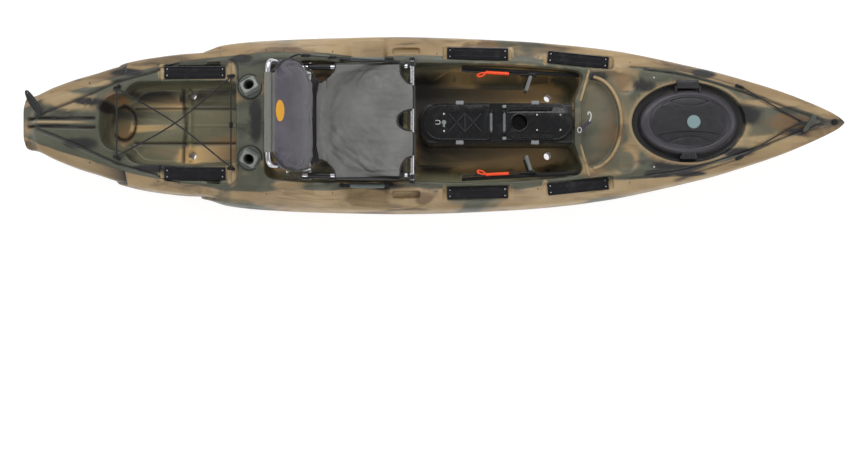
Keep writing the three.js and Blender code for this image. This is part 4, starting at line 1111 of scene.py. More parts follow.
def gear_plate(name, x, y, top, turn, side, label):
    """A plate with a raised lip, a sunk middle and two screws at each end."""
    half_x, half_y = GEAR_PLATE_LENGTH / 2, GEAR_PLATE_WIDTH / 2
    plate = prism("plate", rectangle(-half_x, half_x, -half_y, half_y, .006), -.007, .001, .0012)
    sunk = prism("sunk", rectangle(-half_x + .005, half_x - .005, -half_y + .005, half_y - .005,
                                   .004), -.0012, .01)
    parts = [subtract(plate, [sunk])]
    for end in (-1, 1):
        parts.append(prism("rib", rectangle(end * .118 - .0015, end * .118 + .0015,
                                            -half_y + .006, half_y - .006, .001), -.002, .0006,
                           .0005))
    for across in (-1, 1):
        parts.append(prism("rib", rectangle(-.112, .112, across * .012 - .001,
                                            across * .012 + .001, .0008), -.002, -.0002, .0004))
    place = Matrix.Translation((x, side * y, top)) @ Matrix.Rotation(side * math.radians(turn),
                                                                     4, "Z")
    plate = moved(joined("plate", parts), place)
    piece(f"gear_plate_face_{name}_{label}", plate, "plate",
          replaces=[f"gear_plate_{name}_{label}"])
    heads = [screw_head(end * .131, across * .015, -.001, .0034)
             for end in (-1, 1) for across in (-1, 1)]
    piece(f"gear_plate_screws_{name}_{label}", moved(joined("screws", heads), place), "steel")


def rod_holder(side, label):
    """A flush holder: a disc, a tilted collar and a bore that leans back and outwards."""
    at = Vector((ROD_HOLDER.x, side * ROD_HOLDER.y, ROD_HOLDER.z))
    axis = Vector((ROD_AXIS.x, side * ROD_AXIS.y, ROD_AXIS.z))
    disc = turned("disc", [(0, 0), (.0575, 0), (.0585, .002), (.0565, .005), (.05, .007),
                           (.036, .0075), (0, .0075)], 64, at)
    turn = Vector((0, 0, 1)).rotation_difference(axis).to_matrix()
    rings = []
    for height, grow in ((-.004, 1.08), (.012, 1.04), (.019, .99), (.022, .93), (.0225, .84)):
        ring = rectangle(-.039 * grow, .039 * grow, -.033 * grow, .033 * grow, .014 * grow, 6)
        spin = Matrix.Rotation(math.radians(30) * side, 3, "Z")
        rings.append([at + turn @ (spin @ Vector(p) + Vector((0, 0, height))) for p in ring])
    collar = faced_out(new_object("collar", *loft(rings)))
    shell = cylinder_cutter(at - axis * .185, at + axis * .01, .0262)
    holder = subtract(disc, [shell], "UNION")
    subtract(holder, [cylinder_cutter(at - axis * .179, at + axis * .07, .022)])
    subtract(collar, [cylinder_cutter(at - axis * .179, at + axis * .07, .0225)])
    edge = [(at.x + .056 * math.cos(a), at.y + .056 * math.sin(a))
            for a in np.linspace(0, 2 * math.pi, 64, endpoint=False)]
    piece(f"rod_holder_edge_{label}", bead(edge, at.z + .004, .0028), "rubber")
    piece(f"rod_holder_collar_{label}", collar, "collar", angle=40)
    lip = [at + axis * .0222 + turn @ Vector((.0235 * math.cos(a), .0235 * math.sin(a), 0))
           for a in np.linspace(0, 2 * math.pi, 48, endpoint=False)]
    piece(f"rod_holder_body_{label}", holder, "block", replaces=[f"rod_holder_{label}"], angle=40)
    piece(f"rod_holder_lip_{label}", closed_tube("lip", lip, .0022), "rubber")


def eye_screws():
    """Small screws along the gunwale and the pale rivets behind the hatch."""
    heads = []
    for x in (-1.62, -1.3, -.78, -.47, .02, .5, .93):
        for _, side in SIDES:
            y = float(line["rim_half"](x)) + .022
            heads.append(screw_head(x, side * y, float(deck_height(x, y)) + .0005, .003))
    piece("gunwale_screws", joined("screws", heads), "plastic")
    rivets = [screw_head(1.041, side * .21, float(deck_height(1.041, .21)) + .001, .0042)
              for _, side in SIDES]
    piece("deck_rivets", joined("rivets", rivets), "white")


def side_handle(side, label):
    """A ribbed grip on webbing that dips below the seat's rail."""
    y, z = .297, .338
    path = smooth_path([(-.432, y, z + .007), (-.404, y, z + .005), (-.376, y, z - .01),
                        (-.308, y, z - .015), (-.242, y, z - .009), (-.212, y, z + .008),
                        (-.186, y, z + .013)], 8)
    webbing = strap("webbing", path, .016, .003)
    grip_path = [p for p in path if -.392 < p.x < -.222]

    def ribs(share):
        end = min(share, 1 - share)
        swell = .0122 if end > .04 else .0095
        return swell * (1 - .035 * (math.sin(share * 60) > .4))

    fine = smooth_path([grip_path[0], grip_path[len(grip_path) // 2], grip_path[-1]], 36)
    grip = tube("grip", fine, ribs, 24)
    tabs = [turned("tab", [(0, 0), (.011, 0), (.011, .003), (.007, .005), (0, .005)], 20,
                   (x, y, z + lift)) for x, lift in ((-.425, .008), (-.193, .012))]
    placed_on_side(side, webbing, grip, *tabs)
    body = f"side_handle_{label}"
    piece(f"side_handle_webbing_{label}", webbing, "webbing", body)
    piece(f"side_handle_grip_{label}", grip, "grip", body, [f"side_handle_{label}"], 50)
    piece(f"side_handle_tabs_{label}", joined("tabs", tabs), "plastic")


def stern_handle():
    """A narrow loop of covered webbing that lies across the stern."""
    base, tip = Vector((-1.832, .037, .377)), Vector((-1.9, .143, .372))
    along = tip - base
    across = along.cross(Vector((0, 0, 1))).normalized()
    ring = []
    for k in range(56):
        a = 2 * math.pi * k / 56
        share = (1 - math.cos(a)) / 2
        wide = math.sin(a) * .0165 * (1 - .3 * share)
        ring.append(base + along * share + across * wide
                    + Vector((0, 0, .006 * math.sin(math.pi * share))))
    loop = closed_tube("loop", ring, .0052, 12)
    web = strap("web", [base + along * t + Vector((0, 0, .004)) for t in
                        np.linspace(.04, .9, 9)], .022, .004, across)
    piece("stern_handle_loop", loop, "webbing", "stern_handle", ["stern_handle"])
    piece("stern_handle_web", web, "binding", "stern_handle")


def bow_toggle():
    """A moulded hand bar on a short strap."""
    at = Vector((1.753, -.009, .401))
    axis = Vector((.385, .7556, .53)).normalized()
    profile = [(0, -.048), (.0045, -.0475), (.0072, -.045), (.0092, -.038), (.0112, -.03),
               (.0122, -.012), (.0122, .012), (.0112, .03), (.0092, .038), (.0072, .045),
               (.0045, .0475), (0, .048)]
    bar = turned("bar", profile, 32, at, axis)
    grooves = [closed_ring_cut(at + axis * d, axis, .0122) for d in (-.02, -.01, 0, .01, .02)]
    subtract(bar, grooves)
    web = strap("web", smooth_path([at + Vector((-.05, 0, -.0125)), at + Vector((-.026, 0, -.009)),
                                    at + Vector((-.004, 0, .002))], 6), .016, .004)
    piece("bow_toggle_bar", bar, "block", "bow_toggle", ["bow_toggle"])
    piece("bow_toggle_web", web, "webbing", "bow_toggle")


def closed_ring_cut(at, axis, radius):
    """A thin ring that cuts a groove round a bar."""
    turn = Vector((0, 0, 1)).rotation_difference(axis).to_matrix()
    rings = []
    for k in range(40):
        a = 2 * math.pi * k / 40
        out = turn @ Vector((math.cos(a), math.sin(a), 0))
        centre = at + out * radius
        rings.append([centre + out * (.0014 * math.cos(b)) + axis * (.0012 * math.sin(b))
                      for b in np.linspace(0, 2 * math.pi, 8, endpoint=False)])
    return faced_out(new_object("groove", *loft(rings, closed=True)))


EYE_LIFT = .007
WELL_EYES = [(-1.486, .167), (-.947, .218)]
BOW_EYE = (1.44, .168)


def eye_top(x, y, rise):
    return float(deck_height(x, y)) + EYE_LIFT + rise


def add_cords():
    """The elastic crossed over the tank well, its lock, and the cord on the foredeck."""
    rear, front = [Vector((x, y - .009, eye_top(x, y, .01))) for x, y in WELL_EYES]
    runs = []
    for end in (rear, front):
        half = [(end.x, end.y * s, end.z - drop) for s, drop in
                ((1, 0), (.5, .003), (0, .004), (-.5, .003), (-1, 0))]
        runs.append(half)
    for sign, height in ((1, .316), (-1, .312)):
        runs.append([(rear.x + .004, sign * rear.y, rear.z), (-1.22, 0, height),
                     (front.x - .004, -sign * front.y, front.z)])
    cords = [tube("run", smooth_path(points, 14), .0037, 12) for points in runs]
    for _, side in SIDES:
        for end in (rear, front):
            knot = [(end.x - .008, side * (end.y + .004), end.z), (end.x, side * (end.y + .01),
                    end.z + .003), (end.x + .008, side * (end.y + .004), end.z),
                    (end.x + .003, side * (end.y - .006), end.z + .002)]
            cords.append(closed_tube("knot", [Vector(p) for p in smooth_path([*knot, knot[0]],
                                     6)[:-1]], .003, 10))
    piece("tank_well_elastic", joined("elastic", cords), "cord", replaces=["well_bungee"])
    lock = turned("lock", [(0, -.014), (.006, -.014), (.0085, -.011), (.009, 0), (.0085, .011),
                           (.006, .014), (0, .014)], 28, (front.x, -.014, front.z - .004),
                  (0, 1, 0))
    piece("cord_lock_body", lock, "plastic", replaces=["cord_lock"])
    x, y = BOW_EYE
    height = float(deck_height(x, y)) + .013
    bow = [(x + .018, y - .008, height), (1.58, .084, .37), (1.716, .006, .375),
           (1.722, 0, .376), (1.716, -.006, .375), (1.58, -.084, .37),
           (x + .018, -y + .008, height)]
    parts = [tube("cord", smooth_path(bow, 12), .0037, 12)]
    for _, side in SIDES:
        wraps = [Vector((x + .012 + .0035 * k, side * (y - .006 - .001 * k), height))
                 for k in range(3)]
        for centre in wraps:
            ring = [centre + Vector((0, .0055 * math.cos(a), .0055 * math.sin(a)))
                    for a in np.linspace(0, 2 * math.pi, 20, endpoint=False)]
            parts.append(upright_ring(ring, .0022))
    piece("foredeck_cord", joined("cords", parts), "cord", replaces=["bow_cord"])


def upright_ring(ring, radius):
    """A ring of cord that stands across the length of the kayak."""
    centre = sum(ring, Vector()) / len(ring)
    rings = []
    for point in ring:
        out = (point - centre).normalized()
        rings.append([point + out * (radius * math.cos(a))
                      + Vector((radius * math.sin(a), 0, 0))
                      for a in np.linspace(0, 2 * math.pi, 8, endpoint=False)])
    return faced_out(new_object("ring", *loft(rings, closed=True)))


def keeper_strap():
    """A short strap with a ring at one end and a pale hook at the other."""
    path = smooth_path([(.700, -.034, .343), (.712, -.02, .344), (.726, -.008, .3435),
                        (.741, .006, .343)], 8)
    web = strap("web", path, .018, .004)
    hook = tube("hook", smooth_path([(.738, .004, .345), (.744, .018, .347), (.746, .034, .347),
                                     (.74, .047, .347), (.732, .045, .347), (.732, .034, .347)],
                                    8), .0036, 14)
    ring = [Vector((.692 + .009 * math.cos(a), -.036 + .012 * math.sin(a), .344))
            for a in np.linspace(0, 2 * math.pi, 28, endpoint=False)]
    piece("keeper_webbing", web, "purple", replaces=["keeper_strap"])
    piece("keeper_hook", joined("metal", [hook, closed_tube("ring", ring, .0026, 10)]), "white")


def tray_lips():
    """The raised lip round the front of the tray and the two edges of the bulkhead behind it."""
    arc = [(.742 + .147 * math.sin(a), -.217 * math.cos(a)) for a in np.linspace(.12, 3.02, 44)]
    lip = [(x, y, float(deck_height(x, y)) + .001) for x, y in arc]
    parts = [tube("lip", lip, .0078, 12)]
    for _, side in SIDES:
        edge = [(mix(.74, .698, t), side * mix(.25, .1, t)) for t in np.linspace(0, 1, 8)]
        edge = [(x, y, float(deck_height(x, y)) - .002) for x, y in edge]
        parts.append(tube("edge", edge, .006, 12))
    piece("tray_lip", joined("lips", parts), "hull")


def add_deck_fittings():
    tray_lips()
    for label, side in SIDES:
        for name, x, y, top, turn in GEAR_PLATES:
            gear_plate(name, x, y, top, turn, side, label)
        rod_holder(side, label)
        side_handle(side, label)
        for name in (f"well_eye_rear_{label}", f"well_eye_front_{label}", f"bow_eye_{label}"):
            dressed(name, "plastic", .0006)
    eye_screws()
    stern_handle()
    bow_toggle()
    add_cords()
    keeper_strap()
    dressed("drain_plug", "rubber", .0006)
    dressed("skid_plate", "plastic", .001)


# ---------------------------------------------------------------- bow hatch

LID_PROFILE = [(0, .374), (.3, .3738), (.5, .3725), (.72, .369), (.8, .366), (.815, .364),
               (.829, .3634), (.842, .365), (.855, .366), (.9, .3635), (.94, .3595),
               (.97, .3545), (.985, .351), (1, .346)]
LID_UNDER = [(1, .3396), (.94, .3396), (.93, .346), (.9, .354), (.8, .3605), (.5, .3655),
             (0, .368)]


def lid_relief(x, y, rho):
    """Height added to the lid's dome by its steps: a recess to port and a ridge to starboard."""
    dx = x - HATCH_X
    inside = 1 - step(.74, .795, rho)
    port_step = step(0, .003, y - .057 - .018 * (dx / .165) ** 2)
    port_lens = step(0, .004, y - .075 - .03 * (dx / .105) ** 2)
    valley = step(0, .004, -.041 - .022 * (dx / .17) ** 2 - y)
    ridge = step(0, .006, -.067 - .03 * (dx / .11) ** 2 - y)
    return inside * (port_step * .004 - port_lens * .013 - valley * .012 + ridge * .014)


def lid_shell():
    """The lid's skin, drawn as rings from the middle of its top round to its underside."""
    count = 168
    rhos = [k / 64 for k in range(1, 65)]
    profile = through(LID_PROFILE)
    turns = np.linspace(0, 2 * math.pi, count, endpoint=False)
    rings = []
    for rho in rhos:
        x, y = HATCH_X + LID_LONG * rho * np.cos(turns), LID_WIDE * rho * np.sin(turns)
        z = profile(rho) + lid_relief(x, y, rho)
        rings.append([Vector(v) for v in zip(x, y, z)])
    for rho, z in LID_UNDER[:-1]:
        rings.append([Vector((HATCH_X + LID_LONG * rho * math.cos(a),
                              LID_WIDE * rho * math.sin(a), z)) for a in turns])
    return faced_out(new_object("lid_shell", *loft(rings)))


def add_hatch():
    shell = lid_shell()
    co = coordinates(shell)
    rho = np.hypot((co[:, 0] - HATCH_X) / LID_LONG, co[:, 1] / LID_WIDE)
    add_field(shell, "band", step(.825, .845, rho))
    piece("hatch_lid_shell", shell, "lid", "hatch_lid", ["hatch_lid"], 60)
    barrel = tube("barrel", [(HATCH_X - .03, -.165, .346), (HATCH_X + .03, -.165, .346)], .009,
                  32)
    arm = prism("arm", rectangle(HATCH_X - .036, HATCH_X + .034, -.172, -.142, .005), .349,
                .3585, .002)
    ribs = [prism("rib", rectangle(HATCH_X + dx - .002, HATCH_X + dx + .002, -.17, -.146, .001),
                  .357, .3605, .0008) for dx in (-.024, -.012, 0, .012, .024)]
    piece("hatch_hinge_leaf", joined("leaf", [faced_out(barrel), arm, *ribs]), "lid",
          "hatch_lid")
    lugs = [prism("lug", rectangle(x0, x0 + .008, .136, .17, .002), .35, .3645, .0012)
            for x0 in (HATCH_X - .068, HATCH_X + .044)]
    piece("hatch_latch_lugs", joined("lugs", lugs), "lid", "hatch_lid")
    dressed("hatch_latch", "lid", .0022, 20)
    grip = [prism("rib", rectangle(HATCH_X - .008 + dx - .0016, HATCH_X - .008 + dx + .0016,
                                   .17, .188, .001), .362, .3695, .0007)
            for dx in np.linspace(-.036, .036, 9)]
    piece("hatch_latch_ribs", joined("ribs", grip), "lid", "hatch_latch")
    cap = turned("cap", [(0, .3722), (.031, .3722), (.0315, .3735), (.031, .3748),
                         (.0295, .3762), (.0275, .3765), (.027, .3757), (.01, .3757),
                         (.0095, .3765), (0, .3768)], 72, (HATCH_X + .017, 0, 0))
    piece("hatch_lid_disc", cap, "cap", "hatch_lid", ["hatch_lid_cap"])
    dressed("hatch_rim", "plastic", .0012)
    dressed("hatch_gasket", "rubber", .0006)
    dressed("hatch_hinge_pin", "steel", .0004)


# ---------------------------------------------------------------- centre console

REAR_LID = (-.0455, .269)
FRONT_LID = (.345, .6595)
LID_TOP = .342


def console_bead(outline, body, name):
    piece(name, bead(outline, LID_TOP + .0002, .0016, .006), "console", body)


def add_console():
    for name in ("console_pod", "console_lid_rear", "console_lid_front", "console_cover_plate",
                 "console_rail_port", "console_rail_starboard"):
        dressed(name, "console", .0014)
    dressed("console_latch", "clip", .0012)
    for end in ("rear", "front"):
        dressed(f"console_hinge_pin_{end}", "steel", .0003)
        for label, _ in SIDES:
            dressed(f"console_clip_{end}_{label}", "clip", .001)
    console_bead(long_round(*REAR_LID, .0825, .0825, .004), "console_lid_rear",
                 "console_rear_bead")
    console_bead(long_round(*FRONT_LID, .0825, .004, .0825), "console_lid_front",
                 "console_front_bead")
    bars = []
    for sign in (-1, 1):
        for x0, x1 in ((.076, .152), (.154, .230)):
            start, end = Vector((x0, sign * .043, .3405)), Vector((x1, -sign * .043, .3405))
            bars.append(strap("bar", [start, end], .0055, .011))
    bars.append(strap("bar", [Vector((.153, -.047, .3405)), Vector((.153, .047, .3405))], .006,
                      .006))
    piece("console_lid_ribs", joined("ribs", [faced_out(b) for b in bars]), "lid",
          "console_lid_rear")
    piece("console_lid_screws", joined("screws", [screw_head(.054, side * .04, LID_TOP, .005)
                                                  for _, side in SIDES]), "steel",
          "console_lid_rear")
    coils = [tube("coil", [(x, y, .3405) for y in np.linspace(-.042, .042, 90)],
                  lambda share: .0068 + .0009 * math.sin(share * 170), 16) for x in (.276, .338)]
    piece("console_hinge_coils", joined("coils", coils), "clip")
    hasp = smooth_path([(.014, -.008, .3445), (.03, -.0085, .3445), (.036, 0, .3445),
                        (.03, .0085, .3445), (.014, .008, .3445)], 6)
    piece("console_hasp", tube("hasp", hasp, .0022, 10), "white", "console_lid_rear")
    lip = [(.408 + .0405 * math.cos(a), .0405 * math.sin(a))
           for a in np.linspace(0, 2 * math.pi, 56, endpoint=False)]
    piece("cup_lip", bead(lip, LID_TOP + .0008, .003), "console", "console_lid_front")
    heads = [screw_head(x, side * .036, LID_TOP + .004, .0042) for x in (.492, .602)
             for _, side in SIDES]
    heads += [screw_head(x, side * .066, LID_TOP + .0035, .003) for x in (.372, .56)
              for _, side in SIDES]
    piece("console_front_screws", joined("screws", heads), "steel", "console_lid_front")
    blocks = [prism("block", rectangle(.329, .347, y0, y0 + .014, .003), .336, .346, .0015)
              for y0 in (-.082, .068)]
    piece("console_grey_blocks", joined("blocks", blocks), "clip", "hull")


# ---------------------------------------------------------------- foot braces

BRACE_AT = Vector((.42, .249, .268))
BRACE_TURN = math.radians(-3.26)
PEDAL_X = .04
BLADE_SLANT = -14  # degrees that a blade leans aft towards the keel


def in_brace(*points):
    """Points given in the brace's own frame, moved to their place on the port side."""
    place = Matrix.Translation(BRACE_AT) @ Matrix.Rotation(BRACE_TURN, 4, "Z")
    return [place @ Vector(p) for p in points]


def brace_pedal(side, label):
    """A carriage in the rail with an arm that holds an upright grey blade."""
    rest = (Matrix.Translation(BRACE_AT) @ Matrix.Rotation(BRACE_TURN, 4, "Z")
            @ Matrix.Translation((PEDAL_X, 0, 0)))
    frame_parts = [
        prism("carriage", rectangle(-.038, .038, -.019, -.0084, .003), -.013, .013, .0015),
        prism("tower", rectangle(-.006, .034, -.019, -.0085, .003), -.013, .034, .0015),
        prism("key", rectangle(-.03, .03, -.01, -.002, .001), -.004, .004),
        tube("rod", [(-.32, -.015, .02), (.008, -.015, .02)], .004, 16),
        faced_out(new_object("arm", *loft([
            [Vector(p) for p in ((-.004, -.016, -.03), (.03, -.016, -.013), (.03, -.016, .024),
                                 (-.004, -.016, .03))],
            [Vector(p) for p in ((-.02, -.075, -.034), (-.012, -.075, -.03),
                                 (-.012, -.075, .016), (-.02, -.075, .02))]]))),
    ]
    blade = prism("blade", rectangle(-.008, .008, -.092, -.016, .006), -.054, .05, .004, 3)
    ribs = [prism("rib", rectangle(-.0095, -.007, -.086, -.022, .001), low, low + .005, .0008)
            for low in (-.042, -.026, -.01, .006, .022, .038)]
    blade = moved(joined("blade", [blade, *ribs]), Matrix.Translation((.012, -.006, -.004))
                  @ Matrix.Rotation(math.radians(BLADE_SLANT), 4, "Z"))
    carriage = moved(joined("carriage", frame_parts), rest)
    moved(blade, rest)
    placed_on_side(side, carriage, blade)
    body = f"brace_pedal_{label}"
    piece(f"brace_carriage_{label}", carriage, "plastic", body, [body])
    piece(f"brace_blade_{label}", blade, "blade", body)


def add_foot_braces():
    for label, side in SIDES:
        dressed(f"brace_rail_{label}", "plastic", .0012)
        brace_pedal(side, label)
        body = f"brace_grip_{label}"
        x, y, z = PEDAL_X, -.015, .02

        def waist(share):
            return .0082 * (1 - .05 * (math.sin(share * 70) > .3))

        sleeve = tube("sleeve", in_brace(*[(x - .206 + .11 * t, y, z)
                                           for t in np.linspace(0, 1, 48)]), waist, 24)
        loop = smooth_path(in_brace((x - .204, y, z), (x - .226, y - .004, z + .001),
                                    (x - .244, y - .014, z + .001), (x - .240, y - .022, z),
                                    (x - .222, y - .018, z), (x - .206, y - .005, z)), 8)
        grip = joined("grip", [sleeve, tube("loop", loop, .0042, 16)])
        placed_on_side(side, grip)
        piece(f"brace_grip_sleeve_{label}", grip, "orange", body, [body])


# ---------------------------------------------------------------- seat

SEAT_SLOPE = (SEAT_FRONT_Z - SEAT_BEND_Z) / (SEAT_FRONT_X - SEAT_BEND_X)
BACK_TUBE = [(-.572, .393), (-.612, .424), (-.63, .479), (-.64, .576), (-.646, .64),
             (-.676, .7), (-.706, .757)]
BACK_TUBE_Y = .224


def rail_height(x):
    return SEAT_BEND_Z + np.maximum(0, x - SEAT_BEND_X) * SEAT_SLOPE


def back_path():
    side = [Vector((x, BACK_TUBE_Y, z)) for x, z in BACK_TUBE]
    whole = side + [Vector((p.x, -p.y, p.z)) for p in reversed(side)]
    return rounded(whole, .05, 8, closed=False)


def seat_frame():
    """Base and back tubes, the front leg, the pivot rod and the brackets."""
    parts = []
    for _, side in SIDES:
        corners = [(-.606, side * SEAT_Y, .39), (SEAT_BEND_X, side * SEAT_Y, SEAT_BEND_Z),
                   (SEAT_FRONT_X, side * SEAT_Y, SEAT_FRONT_Z)]
        parts.append(tube("rail", rounded(corners, .045, 8, closed=False), TUBE_R, 28))
    cross = [(SEAT_FRONT_X, y, SEAT_FRONT_Z) for y in np.linspace(-.287, .287, 12)]
    parts.append(tube("cross", cross, TUBE_R, 28))
    piece("seat_base_frame", joined("base", parts), "tube", replaces=["seat_base_tube"])
    leg = rounded([(-.16, .244, .396), (-.15, .238, .2144), (-.15, -.238, .2144),
                   (-.16, -.244, .396)], .034, 8, closed=False)
    piece("seat_front_leg_tube", tube("leg", leg, .009, 24), "plastic",
          replaces=["seat_front_leg"])
    piece("seat_back_frame", tube("back", back_path(), TUBE_R, 28), "tube", "seat_back",
          ["seat_back_tube"])
    dressed("seat_pivot_rod", "steel", .0006)
    for label, _ in SIDES:
        dressed(f"seat_bracket_{label}", "plastic", .001)


def seat_collars():
    """Black collars, end caps and grip rings on the tubes."""
    fixed, turning = [], []
    for _, side in SIDES:
        y = side * SEAT_Y
        fixed.append(tube("collar", [(x, y, .3895) for x in np.linspace(-.58, -.475, 6)],
                          .0138, 24))
        fixed.append(tube("cap", [(SEAT_FRONT_X, side * d, SEAT_FRONT_Z)
                                  for d in np.linspace(.276, .291, 4)], .0124, 24))
        for x in (-.115, -.15):
            fixed.append(tube("clamp", [(x, y, float(rail_height(x))),
                                        (x + .012, y, float(rail_height(x + .012)))], .0132, 24))
        sleeve = [p for p in smooth_path([(x, side * BACK_TUBE_Y, z) for x, z in BACK_TUBE], 8)
                  if .475 < p.z < .70]
        turning.append(tube("sleeve", sleeve, .0134, 24))
        grip = [(mix(-.608, -.628, t), side * BACK_TUBE_Y, mix(.417, .47, t))
                for t in np.linspace(0, 1, 30)]
        turning.append(tube("grip", grip, lambda s: .0138 if math.sin(s * 40) > -.3 else .0124,
                            24))
    piece("seat_base_collars", joined("collars", fixed), "plastic")
    piece("seat_back_sleeves", joined("sleeves", turning), "binding", "seat_back")


def soft_skin(obj, voxel, smooth=4):
    modify(obj, "REMESH", mode="VOXEL", voxel_size=voxel)
    modify(obj, "SMOOTH", factor=.5, iterations=smooth)
    return apply(obj)


def inflated(obj, pressure, reach, pinned=None, frames=20):
    """Lets a closed cloth skin bulge over its filling, by no more than reach."""
    before = coordinates(obj)
    modify(obj, "CLOTH")
    cloth_modifier = obj.modifiers[-1]
    settings = cloth_modifier.settings
    settings.quality = 6
    settings.mass = .25
    settings.tension_stiffness = settings.compression_stiffness = 12
    settings.shear_stiffness = 6
    settings.bending_stiffness = .6
    settings.use_pressure = True
    settings.uniform_pressure_force = pressure
    settings.shrink_min = -.035
    settings.effector_weights.gravity = 0
    cloth_modifier.point_cache.frame_end = frames
    if pinned is not None:
        group = obj.vertex_groups.new(name="pinned")
        group.add([int(i) for i in np.flatnonzero(pinned)], 1, "REPLACE")
        settings.vertex_group_mass = "pinned"
    for number in range(1, frames + 1):
        bpy.context.scene.frame_set(number)
    apply(obj)
    bpy.context.scene.frame_set(1)
    shift = coordinates(obj) - before
    length = np.linalg.norm(shift, axis=1, keepdims=True)
    shift *= np.minimum(1, reach / np.maximum(length, 1e-9))
    set_coordinates(obj, before + shift)
    obj.vertex_groups.clear()
    return obj


PAD_FRONT = [(0, -.562, .405), (.08, -.565, .43), (.15, -.568, .452), (.34, -.576, .528),
             (.56, -.589, .621), (.72, -.611, .682), (.88, -.654, .738), (1, -.694, .768)]
PAD_BACK = [(0, -.584, .407), (.08, -.598, .432), (.15, -.605, .456), (.34, -.616, .528),
            (.56, -.627, .618), (.72, -.65, .668), (.88, -.686, .722), (1, -.706, .748)]
PAD_HALF = [(0, .19), (.1, .212), (.3, .228), (.5, .24), (.7, .243), (.8, .238), (.86, .215),
            (.92, .178), (1, .168)]


def pad_skin():
    """The back pad before it is filled: rings from its bottom edge to its rolled top."""
    front_x, front_z = through([(t, x) for t, x, _ in PAD_FRONT]), through([(t, z) for t, _, z in
                                                                           PAD_FRONT])
    back_x, back_z = through([(t, x) for t, x, _ in PAD_BACK]), through([(t, z) for t, _, z in
                                                                        PAD_BACK])
    half_width = through(PAD_HALF)
    rings = []
    for t in np.linspace(0, 1, 40):
        front, back = Vector((front_x(t), 0, front_z(t))), Vector((back_x(t), 0, back_z(t)))
        half = float(half_width(t))
        ring = []
        for share, y in ((0, half - .014), (.15, half - .003), (.5, half), (.85, half - .003),
                         (1, half - .014)):
            ring.append(front.lerp(back, share) + Vector((0, y, 0)))
        full = ring + [Vector((p.x, -p.y, p.z)) for p in reversed(ring)]
        rings.append(full)
    return faced_out(new_object("pad_skin", *loft(rings)))


def wrinkles(co, normal, folds):
    """Raises long soft folds: start, end, breadth and height of each, in the plane of the cloth."""
    push = np.zeros(len(co))
    for start, end, breadth, height in folds:
        a, b = Vector(start), Vector(end)
        span = b - a
        rel = co - np.array(a)
        share = np.clip(rel @ np.array(span) / span.length_squared, 0, 1)
        near = rel - share[:, None] * np.array(span)
        away = np.linalg.norm(near, axis=1)
        push += height * np.exp(-(away / breadth) ** 2) * np.sin(math.pi * share) ** .7
    return co + normal * push[:, None]


PAD_FOLDS = [((-.57, .19, .50), (-.60, .235, .66), .012, .006),
             ((-.56, .16, .50), (-.585, .215, .62), .009, -.005),
             ((-.57, -.19, .50), (-.60, -.235, .66), .012, .005),
             ((-.555, -.05, .47), (-.57, .05, .50), .014, .003),
             ((-.555, .10, .46), (-.575, .02, .55), .012, .003)]


def seat_pad():
    pad = soft_skin(pad_skin(), .005)
    before = coordinates(pad)
    edge = np.abs(before[:, 1]) > through([(z, h) for z, h in
                                           ((.40, .18), (.52, .22), (.7, .236), (.77, .16))])(
        before[:, 2]) - .003
    inflated(pad, 3.5, .012, edge)
    set_coordinates(pad, wrinkles(coordinates(pad), vertex_normals(pad), PAD_FOLDS))
    modify(pad, "SUBSURF", levels=1, render_levels=1)
    apply(pad)
    co = coordinates(pad)
    # painted light: the top roll of the back, which faces up, is painted pale
    add_field(pad, "band", 1 - step(-.688, -.668, co[:, 0]))
    piece("seat_back_cushion", pad, "pad", "seat_back", ["seat_back_pad"], 60,
          blend=("hull", "seat_back", (-.56, 0, .415), (-.56, 0, .47)))
    return pad


def laid_on(target, outline, height, thick, steps=6):
    """A thin patch that follows the top of another piece, within an outline around its middle."""
    graph = bpy.context.evaluated_depsgraph_get()
    graph.update()
    surface = target.evaluated_get(graph)
    centre = sum((Vector((x, y, 0)) for x, y in outline), Vector()) / len(outline)
    rings = []
    for k in range(steps, 0, -1):
        ring = []
        for x, y in outline:
            at = centre.lerp(Vector((x, y, 0)), k / steps)
            found, place, normal, _ = surface.ray_cast(Vector((at.x, at.y, height)),
                                                       Vector((0, 0, -1)))
            ring.append((place, normal) if found else (at, Vector((0, 0, 1))))
        rings.append(ring)
    top = [[p + n * thick for p, n in ring] for ring in reversed(rings)]
    bottom = [[p - n * .001 for p, n in ring] for ring in rings]
    return faced_out(new_object("patch", *loft(top + bottom)))


def seat_details(pad):
    """The plain patch, the piping of the corner windows and edges, and the wrap over the top of the
    back's tube.
    """
    patch = laid_on(pad, [(-.655 + .0165 * math.cos(a), .008 + .046 * math.sin(a))
                          for a in np.linspace(0, 2 * math.pi, 48, endpoint=False)], 1, .0012)
    piece("seat_back_patch", patch, "patch", "seat_back")
    trims = []
    for _, side in SIDES:
        corner = [(-.606, .243, .675), (-.636, .238, .712), (-.662, .212, .737),
                  (-.684, .183, .753), (-.705, .172, .762), (-.718, .172, .758)]
        trims.append(tube("piping", smooth_path(mirrored(corner, side), 8), .0042, 12))
        edge = [(-.545, .196, .418), (-.556, .218, .47), (-.575, .232, .54), (-.594, .243, .62),
                (-.612, .244, .672)]
        trims.append(tube("piping", smooth_path(mirrored(edge, side), 8), .0036, 12))
    piece("seat_back_piping", joined("trims", trims), "binding", "seat_back")
    top_x, top_z = BACK_TUBE[-1]
    rear = [(top_x, y, top_z + .001 * math.cos(y * 60)) for y in np.linspace(-.172, .172, 40)]
    wrap = tube("wrap", rear, .0152, 24)
    # painted light: the wrap over the top is painted pale all over
    add_field(wrap, "band", np.ones(len(wrap.data.vertices)))
    piece("seat_back_wrap", wrap, "pad", "seat_back")


